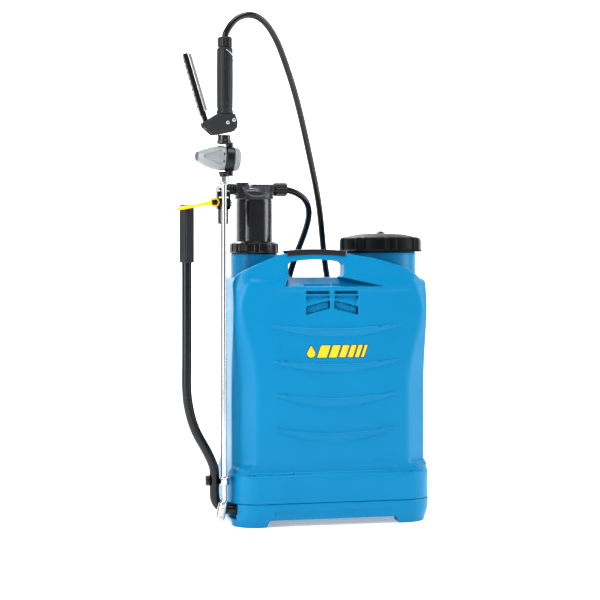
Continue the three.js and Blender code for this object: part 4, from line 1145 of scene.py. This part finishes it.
def make_regulator():
    """The knob is a teardrop with three sunken windows, and its axis lies across the lance."""

    def window(angle, radius, height):
        along = (-17.5 - height) / 31
        if radius <= 8 or not 0 <= along <= 1:
            return 0.0
        turned_by = (angle + math.pi / 2 + math.pi / 3) % (2 * math.pi / 3) - math.pi / 3
        across = turned_by * radius
        half = 14.0 * (1 - along) ** 0.7
        out = -1.9 * (1 - smoothstep(half - 1.6, half - 0.2, abs(across))) * (half > 1.6)
        return out + 0.5 * math.exp(-((abs(abs(across) - half) / 0.8) ** 2))

    anchors = [(-60, 0.5), (-59.2, 5), (-57, 8.7), (-53, 11.4), (-47, 14.6), (-40, 17.3), (-32, 19.4),
               (-24, 20.8), (-16, 21.2), (-11, 20.9), (-9.2, 20.2)]
    curve = smooth_curve([(h, r, 0) for h, r in anchors], 90)
    outer = [(float(r), float(h)) for h, r, _ in curve]
    profile = [(0, -60.1), *outer, (19.4, -8.7), (9.3, -8.7), (9.3, -14.3), (0, -14.3)]
    knob = turned(profile, 240, relief=window)
    make_piece("regulator_dial", placed(knob, *REGULATOR), "grey", "regulator_knob", "regulator_knob",
               smooth=50)
    insert = lathe([(0, -61.0), (5.6, -60.6), (8.4, -58.6), (9.6, -56.2), (8.8, -55.4), (0, -57)], 0.8, 64)
    make_piece("regulator_end", placed(insert, *REGULATOR), "dark_grey", "regulator_knob")
    # Black bars paint the shade inside the knob's slots; the knob itself is grey plastic throughout.
    painted_shade_bars = []
    for side in range(3):
        for offset in (-0.3, 0.3):
            angle = -math.pi / 2 + side * 2 * math.pi / 3 + offset
            bar = block((20.2, -2.2, -14.0), (21.5, 2.2, -12.2))
            painted_shade_bars.append(placed(bar, turn=Matrix.Rotation(angle, 4, "Z")))
    make_piece("regulator_painted_shade_bars", placed(together(*painted_shade_bars), *REGULATOR), "black", "regulator_knob", smooth=30,
               slot="grey_plastic")
    dot = lathe([(0, -61.9), (2.6, -61.7), (3.6, -61.0), (3.6, -59.6), (0, -59.6)], 0.5, 32)
    make_piece("regulator_dot", placed(dot, *REGULATOR), "red", "regulator_knob")

    cap = lathe([(9.3, 5.8), (20.6, 5.8), (20.6, 9.2), (19.4, 13.2), (16, 16.6), (10, 18.4), (0, 19),
                (0, 12.4), (9.3, 12.4)], 1.6, 144, closed=True, relief=ribbed(24, -0.5, 15, 8, 15))
    make_piece("regulator_end_cap", placed(cap, *REGULATOR), "grey", "gun", "regulator_cap", smooth=50)

    band = placed(lathe([(0, -14), (9, -14), (9, -8.4), (21, -8.4), (22, -7.2), (22, 4.2), (21, 5.4),
                  (9, 5.4), (9, 12), (0, 12)], 0.5, 96), *REGULATOR)
    x, y = LANCE
    foot = placed(lathe([(0, 605.3), (8.4, 605.3), (8.4, 608.4), (10, 609.8), (10, 612.2), (7.6, 613.4),
                  (0, 613.4)], 0.5, 64, relief=ribbed(12, -0.6, 9)), (x, y, 0))
    top = placed(lathe([(0, 662), (7.9, 662), (7.9, 665), (0, 665)], 0.3, 48), (x, y, 0))
    neck = placed(turned([(0, 606), (6.2, 606), (6.2, 664), (0, 664)], 48), (x + 9.3, y, 0))
    make_piece("regulator_core", together(band, foot, top, neck), "black", "gun", "regulator_body", smooth=40)


def make_gun():
    x, y = LANCE
    nut = placed(lathe([(8.3, 660.4), (11.0, 660.4), (12.4, 661.6), (12.4, 666.6), (11.4, 668.0),
                 (11.4, 675.4), (10.6, 676), (0, 676), (0, 665.4), (8.3, 665.4)], 0.5, 96, closed=True,
                 relief=ribbed(14, -0.5, 12)), (x, y, 0))
    make_piece("gun_neck_nut", nut, "gloss_black", "gun", "neck_nut", smooth=40)

    def grip_relief(angle, radius, height):
        if radius < 12.6 or not 722 < height < 822:
            return 0.0
        out = -0.35 * max(0.0, math.cos(angle * 22)) ** 2
        facing = abs((angle + math.pi / 2 + math.pi) % (2 * math.pi) - math.pi)
        if facing < 0.36 and 735 < height < 790:
            out = -0.9
        return out

    levels = [712.4, 713.6, 718, 719.6, 721] + list(np.arange(722, 826, 2.0))
    outer = []
    for h in levels:
        if h < 719:
            r = 14.4
        elif h < 722:
            r = 12.9
        else:
            r = 13.7 + 0.35 * math.sin((h - 722) / 104 * math.pi)
        outer.append((r, float(h)))
    outer[0] = (13.2, 712.3)
    grip = turned([(0, 712.3), *outer, (12.2, 826), (9, 826.4), (9, 829.8), (0, 830)], 176,
                  relief=grip_relief)
    studs = [placed(lathe([(0, 0), (2.6, 0), (2.6, 2.2), (0, 2.4)], 0.4, 24), (0, sign * 13.2, CATCH_Z),
             Matrix.Rotation(-sign * math.pi / 2, 4, "X")) for sign in (-1, 1)]
    make_piece("gun_hand_grip", placed(together(grip, *studs), (GRIP_X, y, 0)), "rubber", "gun", "gun_grip",
               smooth=50)

    hose_nut = placed(lathe([(9.3, 827), (12, 827), (12.3, 828.5), (12.3, 842), (11, 844.6), (8.2, 845),
                      (6.2, 845), (6.2, 831), (9.3, 831)], 0.7, 96, closed=True,
                      relief=ribbed(8, 0.8, 10.6, power=3)), (GRIP_X, y, 0))
    make_piece("hose_cap_nut", hose_nut, "black", "gun", "hose_nut", smooth=50)

    step = grid(0.75)
    piece_from_shape("gun_housing", housing_shape, (-233, -100, 673), (-166, -70, 716), step, "charcoal",
                     "gun", "trigger_housing", keep=0.6)
    piece_from_shape("trigger_moulding", trigger_shape, (-268, -99, 680), (-206, -71, 824), step, "black",
                     "trigger", "trigger_lever", keep=0.6)
    for i, (rx, rz) in enumerate(RIVETS):
        rivet = lathe([(0, -1.4), (2.2, -1.2), (3.3, -0.2), (3.3, 0), (2.3, 0), (2.3, 23), (0, 23)], 0.4, 32)
        make_piece(f"gun_rivet_{i + 1}", placed(rivet, (rx, y - 11.9, rz), ALONG_Y), "chrome", "gun",
                   f"housing_rivet_{i + 1}")


HOUSING = [(-231.5, 696), (-229.5, 689.5), (-214, 676), (-203, 676.3), (-176, 682.5), (-170.5, 689),
           (-169.5, 698), (-174, 712.5), (-205, 712.5), (-220, 703)]


def polygon(x, z, corners):
    """Distance to a convex outline."""
    middle = np.mean(corners, axis=0)
    far = None
    for (ax, az), (bx, bz) in zip(corners, corners[1:] + corners[:1]):
        nx, nz = bz - az, ax - bx
        length = math.hypot(nx, nz)
        side = ((x - ax) * nx + (z - az) * nz) / length
        if (middle[0] - ax) * nx + (middle[1] - az) * nz > 0:
            side = -side
        far = side if far is None else np.maximum(far, side)
    return far


def housing_shape(x, y, z):
    middle_y = LANCE[1]
    outline = polygon(x, z, HOUSING)
    away = np.abs(y - middle_y)
    ears = round_both(outline, np.maximum(away - 11.4, 8.1 - away), 1.0)
    core = round_both(np.maximum(outline, -206.8 - x), away - 9.5, 1.2)
    body = np.minimum(ears, core)
    panel = np.maximum(outline + 3.2, 11.0 - away)
    body = cut_out(body, np.maximum(panel, -1.2 - (outline + 3.2)), 0.3)
    pin = np.maximum(np.hypot(x - TRIGGER_PIN[0], z - TRIGGER_PIN[1]) - 2.5, away - 11.9)
    body = np.minimum(body, pin)
    for rx, rz in RIVETS:
        body = cut_out(body, np.hypot(x - rx, z - rz) - 2.5, 0.2)
    return body


def trigger_shape(x, y, z):
    """A channel that leans away from the grip, on a hub between the housing's ears."""
    dx, dz = x - TRIGGER_PIN[0], z - TRIGGER_PIN[1]
    w = dx * math.sin(TRIGGER_LEAN) + dz * math.cos(TRIGGER_LEAN)
    u = dx * math.cos(TRIGGER_LEAN) - dz * math.sin(TRIGGER_LEAN)
    away = np.abs(y - LANCE[1])
    hub = round_both(np.hypot(dx, dz) - 7.5, away - 6.9, 0.8)
    shank = round_both(all_of(np.abs(u + 3) - 4.2, 3 - w, w - 26), away - 7, 1.0)
    channel = round_both(np.maximum(-9 - u, u + 1.2), all_of(away - 9, 19 - w, w - 128.6), 1.4)
    body = blend_either(blend_either(hub, shank, 2.0), channel, 2.0)
    for k in range(9):
        tooth = np.hypot(u + 9.4, w - (36 + 10 * k)) - 1.7
        body = cut_out(body, np.maximum(tooth, away - 6.5), 0.4)
    return cut_out(body, np.hypot(dx, dz) - 2.8, 0.2)


def make_trigger_strip():
    place = (TRIGGER_PIN[0], LANCE[1], TRIGGER_PIN[1])
    strip = placed(block((-1.2, -8.6, 25), (5.4, 8.6, 127.5)), place, Matrix.Rotation(TRIGGER_LEAN, 4, "Y"))
    bevelled(make_piece("trigger_bright_strip", strip, "steel", "trigger", "trigger_strip",
             slot="chromed_brass"), 1.6)


def make_catch():
    reach = 13.4
    points = [
        (0, -reach - 3.9, 0), (6, -reach - 3.9, -5), (15, -reach + 1, -14), (19.5, 0, -20),
        (15, reach - 1, -14), (6, reach + 3.9, -5), (0, reach + 3.9, 0),
    ]
    bail = swept(route(points, 1.5), 0.9, 12)
    make_piece("catch_wire", placed(bail, (GRIP_X, LANCE[1], CATCH_Z)), "chrome", "trigger_catch",
               "trigger_catch", smooth=60)


# ---- hose


HOSE_CLIP = (-48.0, 104.0, 330.0)
HOSE_BEND = 48.0  # radius of its main bends
CREST_Z = 842.0  # where it starts to bend over above the gun


def hose_routes():
    """The hose's two routes: from the pump to the clip on the tank's back, and from there up to the gun."""
    quarter = [math.radians(22.5 * k) for k in range(5)]
    drop = [
        (-64 + HOSE_BEND * math.sin(a), 0.55 * HOSE_BEND * (1 - math.cos(a)),
         PIPE_Z - 0.835 * HOSE_BEND * (1 - math.cos(a)))
        for a in quarter
    ]
    turn = [
        (-HOSE_BEND * math.cos(math.radians(d)), 105 + d / 45, 292 - HOSE_BEND * math.sin(math.radians(d)))
        for d in range(0, 181, 20)
    ]
    crest = [
        (GRIP_X + HOSE_BEND * (1 - math.cos(math.radians(d))), LANCE[1] + 15 * (d / 90) ** 2,
         CREST_Z + HOSE_BEND * math.sin(math.radians(d)))
        for d in (112.5, 90, 67.5, 45, 22.5, 0)
    ]
    x, y, z = HOSE_CLIP
    loop = [(-85.5, 0, PIPE_Z), (-75, 0, PIPE_Z), *drop, (-16.5, 44, 528), (-20, 65, 504), (-27, 85, 477),
            (-36, 99, 444), (-44, 105, 405), (-HOSE_BEND, 105.5, 368), (x, y, z + 0.3)]
    run = [
        (x, y, z - 0.3), *turn, (HOSE_BEND, 112, 330), (44.5, 116.5, 385), (33, 112, 440), (23, 96, 498),
        (14, 80, 553), (3, 66, 599), (-11, 50, 647), (-22, 36, 683), (-38, 17, 732), (-53, 0, 772),
        (-71, -19, 811), (-88, -35, 846), (-106, -49, 870), *crest, (GRIP_X, LANCE[1], 832),
    ]
    return loop, run


def relaxed(path, rounds=40):
    """The path with its small kinks evened out. Its ends, and the first stretch out of each, stay put."""
    path = path.copy()
    fixed = path.copy()
    free = np.clip(np.minimum(np.arange(len(path)), np.arange(len(path))[::-1]) / 4 - 0.5, 0, 1)[:, None]
    for _ in range(rounds):
        path[1:-1] += 0.3 * (path[:-2] + path[2:] - 2 * path[1:-1])
        path = fixed * (1 - free) + path * free
    return path


def make_hose():
    """One hose in two pieces, which meet inside the clip on the tank's back."""
    loop, run = hose_routes()
    for name, node, points, ends, start, end in (
        ("hose_pump_end", "hose_loop", loop, ("pump_chamber", "frame"), (-28, 14, 568), (-40, 104, 430)),
        ("hose_gun_end", "hose_run", run, ("frame", "gun"), (23, 96, 498), (-150, -76, 880)),
    ):
        path = relaxed(route(points, 4.0))
        piece = make_piece(name, swept(path, HOSE_RADIUS, 20), "hose", None, node, smooth=60)
        line = [tuple(metres(p)) for p in path]
        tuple(line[0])
        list(ends)
        tuple(metres(start))
        tuple(metres(end))
        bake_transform(piece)


# ---- small fittings


def make_handle_sleeve():
    """The soft strip along the top of the handle, which laps over its front and back edges."""
    left, right = HANDLE[0] - 4, HANDLE[1] + 4
    middle, half = (left + right) / 2, (right - left) / 2

    def shape(x, y, z):
        t = (x - middle) / half
        under = 477.9 - 3.1 * t**2 - 0.3 * t
        body = round_both(z - (under + 2.5), under - z, 0.8)
        body = round_both(body, np.maximum(np.abs(x - middle) - half, np.abs(y + 74) - 16.0), 1.6)
        side = round_both(np.abs(np.abs(y + 74.5) - 18.3) - 1.2, np.abs(x - middle) - half + 2, 1.0)
        side = round_both(side, np.maximum(z - under - 2.2, under - 7.5 - z), 1.0)
        body = blend_either(body, side, 1.4)
        grooves = np.maximum(np.abs((x - left) % 9.0 - 4.5) - 0.45, (under + 2.1) - z)
        return cut_out(body, np.maximum(grooves, np.abs(y + 74) - 12), 0.2)

    piece_from_shape("handle_strip", shape, (-90, -97, 466), (28, -50, 484), 0.9, "rubber", "frame",
                     "handle_grip", keep=0.5)


def make_bush():
    y, axle_z = PIVOT
    bush = lathe([(8.7, 0), (10.0, 0), (10.6, 0.7), (10.6, 3.5), (9.8, 3.8), (9.8, 16), (8.7, 16)], 0.4, 72,
                 closed=True)
    ribs = [
        placed(block((8.9, -0.8, -0.5), (10.3, 0.8, 0.4)), turn=Matrix.Rotation(k * math.pi / 3, 4, "Z"))
        for k in range(6)
    ]
    make_piece("bush_flange", placed(together(bush, *ribs), (-171.8, y, axle_z), ALONG_X), "black", "frame",
               "shaft_bush_left")


def make_hose_clip():
    cx, cy, cz = HOSE_CLIP
    ring = lathe([(6.3, -8), (8.6, -8), (9.6, -6.5), (9.6, 6.5), (8.6, 8), (6.3, 8)], 0.7, 64, closed=True)
    make_piece("clip_ring", placed(ring, HOSE_CLIP), "black", "frame", "hose_clip")
    stem = block((cx - 6, 92.9, cz - 8), (cx + 6, cy - 7, cz + 8))
    bevelled(make_piece("clip_stem", stem, "black", "frame"), 1.5)
    screw = together(lathe([(0, 0), (3.4, 0), (3.4, 1.1), (2.6, 2.0), (0, 2.2)], 0.3, 32),
                     block((-2.6, -0.35, 2.0), (2.6, 0.35, 2.35)))
    make_piece("clip_screw", placed(screw, (cx, cy + 9.4, cz), ALONG_Y), "steel", "frame")


# ---- straps


STRAP_X = 90.0
STRAP_TOP = 403.0
STRAP_BOTTOM = 177.0


def pad_line(z):
    """The y of the pad's middle line, which bows away from the tank."""
    t = (z - STRAP_BOTTOM) / (STRAP_TOP - STRAP_BOTTOM)
    return 103.0 + 7.5 * math.sin(math.pi * t) ** 0.9


def narrowed(end):
    """How the pad's width tapers towards its ends, from the distance to the nearer one."""
    return 1 - 0.32 * max(0.0, 1 - end / 22) ** 2


def tube_faces(rings, ring):
    """Faces along rings of points, with a cap at both ends."""
    faces = []
    for j in range(rings - 1):
        for i in range(ring):
            k = (i + 1) % ring
            faces.append([j * ring + i, j * ring + k, (j + 1) * ring + k, (j + 1) * ring + i])
    faces.append(list(range(ring))[::-1])
    faces.append([(rings - 1) * ring + i for i in range(ring)])
    return faces


def strap_pad(sign):
    """A quilted pad: a crowned tube of cloth with sewn channels across it, pinched at its bound edge."""
    ring, rows = 80, 150
    half_width = 27.0
    channel = 28.0
    length = STRAP_TOP - STRAP_BOTTOM
    verts = []
    for j in range(rows + 1):
        v = j / rows
        z = STRAP_BOTTOM + length * v
        end = min(v, 1 - v) * length
        narrow = narrowed(end)
        thin = math.sqrt(min(1.0, end / 7 + 0.12))
        to_seam = abs((z - STRAP_BOTTOM - 14) % channel - channel / 2)
        seam = math.exp(-(((channel / 2 - to_seam) / 2.0) ** 2))
        puff = 0.82 + 0.18 * math.cos((channel / 2 - to_seam) / (channel / 2) * math.pi - math.pi)
        for i in range(ring):
            around = 2 * math.pi * i / ring
            c, s = math.cos(around), math.sin(around)
            u = half_width * narrow * math.copysign(abs(c) ** 0.55, c)
            pinch = max(0.0, 1 - (half_width - abs(u) / narrow) / 3.2)
            depth = math.copysign(abs(s) ** 0.8, s) * thin
            thick = 6.2 * puff * (1 - 0.42 * seam * (1 - pinch)) * (1 - 0.35 * pinch)
            ripple = 0.25 * math.sin(z * 0.9 + u * 0.35) * (1 - seam)
            y = pad_line(z) + depth * thick + ripple * (depth > 0.4)
            verts.append((sign * STRAP_X + u, max(y, 93.6), z))
    return verts, tube_faces(rows + 1, ring)


def pad_binding(sign):
    """The bound edge down each side of the pad."""
    shapes = []
    for edge in (-1, 1):
        path = []
        for j in range(60):
            z = STRAP_BOTTOM + 3 + (STRAP_TOP - STRAP_BOTTOM - 6) * j / 59
            end = min(z - STRAP_BOTTOM, STRAP_TOP - z)
            path.append((sign * STRAP_X + edge * 26.6 * narrowed(end), pad_line(z), z))
        shapes.append(swept(path, 1.9, 10))
    return together(*shapes)


def stitches(path):
    """Short threads along a line of points, each bowed a little outwards."""
    line = route(path, 0.8)
    steps, period = 4, 7
    shapes = []
    for start in range(0, len(line) - steps, period):
        part = line[start:start + steps + 1] + np.outer(np.sin(np.pi * np.arange(steps + 1) / steps),
                    (0, 0.25, 0))
        shapes.append(swept(part, 0.35, 6))
    return together(*shapes)


def webbing(points, x, half, thickness):
    """A flat woven band that follows (y, z) points, with a slightly rounded edge."""
    line = route([(0.0, y, z) for y, z in points], 2.5)
    tangents = np.gradient(line, axis=0)
    tangents /= np.linalg.norm(tangents, axis=1)[:, None]
    across = np.linspace(-1, 1, 13)
    verts = []
    for point, tangent in zip(line, tangents):
        normal = np.array([0.0, tangent[2], -tangent[1]])
        for side in (1, -1):
            for u in across[::side]:
                edge = math.sqrt(max(0.0, 1 - abs(u) ** 10)) * 0.75 + 0.25
                offset = normal * side * thickness / 2 * edge
                verts.append((x + u * half, point[1] + offset[1], point[2] + offset[2]))
    return verts, tube_faces(len(line), 2 * len(across))


def ladder_buckle(middle):
    """A flat buckle with two crossbars, which locks the webbing."""
    def shape(x, y, z):
        plate = round_both(rounded_rectangle(x - middle, z - 160, 24.6, 15.4, 5.0), np.abs(y - 101) - 2.9,
                           1.3)
        for low, high in ((147.5, 152.2), (156.6, 162.0), (166.4, 172.0)):
            hole = rounded_rectangle(x - middle, z - (low + high) / 2, 20.4, (high - low) / 2, 1.2)
            plate = cut_out(plate, hole, 0.8)
        teeth = np.maximum(np.abs((x - middle) % 4.0 - 2.0) - 0.7, np.abs(z - 164.0) - 1.6)
        return cut_out(plate, all_of(teeth, 102.9 - y, np.abs(x - middle) - 19), 0.3)

    return shape


# Each length of webbing: its (y, z) points, half width and thickness.
WEBBING = {
    "lower": ([(103.6, 150), (105.4, 146), (105.2, 136), (104.8, 110), (104.4, 84), (104.2, 63)], 19.0, 1.5),
    "middle": ([(101.5, 182), (101.2, 176), (100.9, 170), (100.8, 164)], 18.5, 1.3),
    "upper": ([(102.5, 396), (101.5, 403), (99.6, 409), (97.4, 413)], 18.5, 1.5),
}


def make_straps():
    for side, sign in (("left", -1), ("right", 1)):
        x = sign * STRAP_X
        pad = make_piece(f"shoulder_pad_{side}", strap_pad(sign), "pad_cloth", "frame", f"strap_pad_{side}",
                         180)
        make_piece(f"pad_binding_{side}", pad_binding(sign), "binding", "frame", smooth=180)
        rows = np.linspace(STRAP_BOTTOM + 22, STRAP_TOP - 22, 24)
        seams = [stitches([(x + offset, pad_line(z) + 5.6, z) for z in rows]) for offset in (-22.4, 22.4)]
        make_piece(f"pad_stitching_{side}", together(*seams), "thread", "frame", smooth=180)
        piece_from_shape(f"ladder_buckle_{side}", ladder_buckle(x), (x - 27, 97, 142), (x + 27, 106, 177.5),
                         grid(0.8), "black", "frame", f"strap_buckle_{side}", keep=0.5)
        for part, (points, half, thickness) in WEBBING.items():
            make_piece(f"webbing_{part}_{side}", webbing(points, x, half, thickness), "webbing", "frame",
                       f"strap_webbing_{side}" if part == "lower" else None, 60)
        anchor = block((x - 22, 92.7, 405), (x + 22, 98.4, 416))
        bevelled(make_piece(f"strap_anchor_top_{side}", anchor, "blue", "frame"), 1.6)
        hook = block((x - 22, 101.3, 56), (x + 22, 106.2, 68))
        bevelled(make_piece(f"strap_anchor_low_{side}", hook, "black", "frame"), 1.4)
        rivet = lathe([(0, 0), (2.6, 0), (2.3, 0.8), (0, 1.2)], 0.3, 24)
        for letter, offset in (("a", -16), ("b", 16)):
            shape = placed(rivet, (x + offset, 106.1, 62), ALONG_Y)
            make_piece(f"strap_rivet_{side}_{letter}", shape, "steel", "frame")


# ---- emblem


def front_y(x, z):
    """Where the tank's front surface is, by halving the gap between a point outside and one inside."""
    x, z = np.asarray(x, dtype=float), np.asarray(z, dtype=float)
    outside, inside = np.full(x.shape, -106.0), np.full(x.shape, -80.0)
    for _ in range(22):
        y = (outside + inside) / 2
        solid = tank_trunk(x, y, z) < 0
        inside, outside = np.where(solid, y, inside), np.where(solid, outside, y)
    return outside


def decal(edges, lift):
    """A thin patch on the tank's front. edges(v) gives its left and right x and its z."""
    across, up = 14, 24
    xs, zs = np.zeros((up + 1, across + 1)), np.zeros((up + 1, across + 1))
    for j in range(up + 1):
        left, right, z = edges(j / up)
        xs[j] = np.linspace(left, right, across + 1)
        zs[j] = z
    ys = front_y(xs, zs)
    verts, faces = [], []
    for depth in (-lift, 0.6):
        verts += [(xs[j, i], ys[j, i] + depth, zs[j, i]) for j in range(up + 1) for i in range(across + 1)]
    row = across + 1
    size = row * (up + 1)
    for j in range(up):
        for i in range(across):
            a, b, c, d = j * row + i, j * row + i + 1, (j + 1) * row + i + 1, (j + 1) * row + i
            faces += [[a, b, c, d], [d + size, c + size, b + size, a + size]]
    rim = [j * row for j in range(up, 0, -1)] + list(range(across)) + [j * row + across for j in range(up)]
    rim += [up * row + i for i in range(across, 0, -1)]
    for a, b in zip(rim, rim[1:] + rim[:1]):
        faces.append([b, a, a + size, b + size])
    return verts, faces


EMBLEM = (-48.0, 292.0, 21.0)  # left edge, bottom and height
BARS = [(22, 17), (43, 14), (61, 11.5), (76.5, 9), (89.5, 7), (100.5, 5)]  # start and width of each


def make_emblem():
    """A plain drop and a row of slanting bars, in place of lettering, on a slightly larger dark outline."""
    left, bottom, height = EMBLEM

    def drop(grow, v):
        low = 7.4 * math.sqrt(max(0.0, 1 - (1 - min(1.0, v / 0.36)) ** 2))
        half = low if v < 0.36 else 7.4 * (1 - ((v - 0.36) / 0.64)) ** 0.85
        half += grow
        return left + 8 - half, left + 8 + half, bottom - grow + (height + 2 * grow) * v

    def bar(start, width, grow, v):
        lean = 7.0 * (v - 0.5)
        return (left + start + lean - grow, left + start + width + lean + grow,
                bottom - grow + (height + 2 * grow) * v)

    for name, material, grow, lift in (("outline", "black", 0.9, 0.25), ("fill", "yellow", 0.0, 0.45)):
        shapes = [decal(partial(drop, grow), lift)]
        shapes += [decal(partial(bar, start, width, grow), lift) for start, width in BARS]
        make_piece(f"emblem_{name}", together(*shapes), material, "frame", smooth=60)


# ---- pieces kept from the CAD model


KEPT_NODES = {
    "steel": ["base_screw_1", "base_screw_2", "base_screw_3", "base_screw_4", "inlet_valve_ball",
              "outlet_valve_ball", "piston_tube", "rod_pin", "rod_eye_pin", "lever_shaft"],
    "rubber": ["lid_gasket", "cylinder_gasket", "piston_seal"],
    "natural": ["filler_strainer", "foot_strainer", "piston"],
    "black": ["pump_cylinder", "shaft_bush_right"],
}


def finish_cad_nodes():
    for material, names in KEPT_NODES.items():
        for name in names:
            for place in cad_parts[name].material_slots:
                place.material = materials[material]


make_camera()
make_floor()
make_lights()
make_materials()
make_hose()
make_tank()
make_base()
make_emblem()
make_filler()
make_pump()
make_pump_arm()
make_lever()
make_clip()
make_lance()
make_regulator()
make_gun()
make_trigger_strip()
make_catch()
make_handle_sleeve()
make_bush()
make_hose_clip()
make_straps()
finish_cad_nodes()
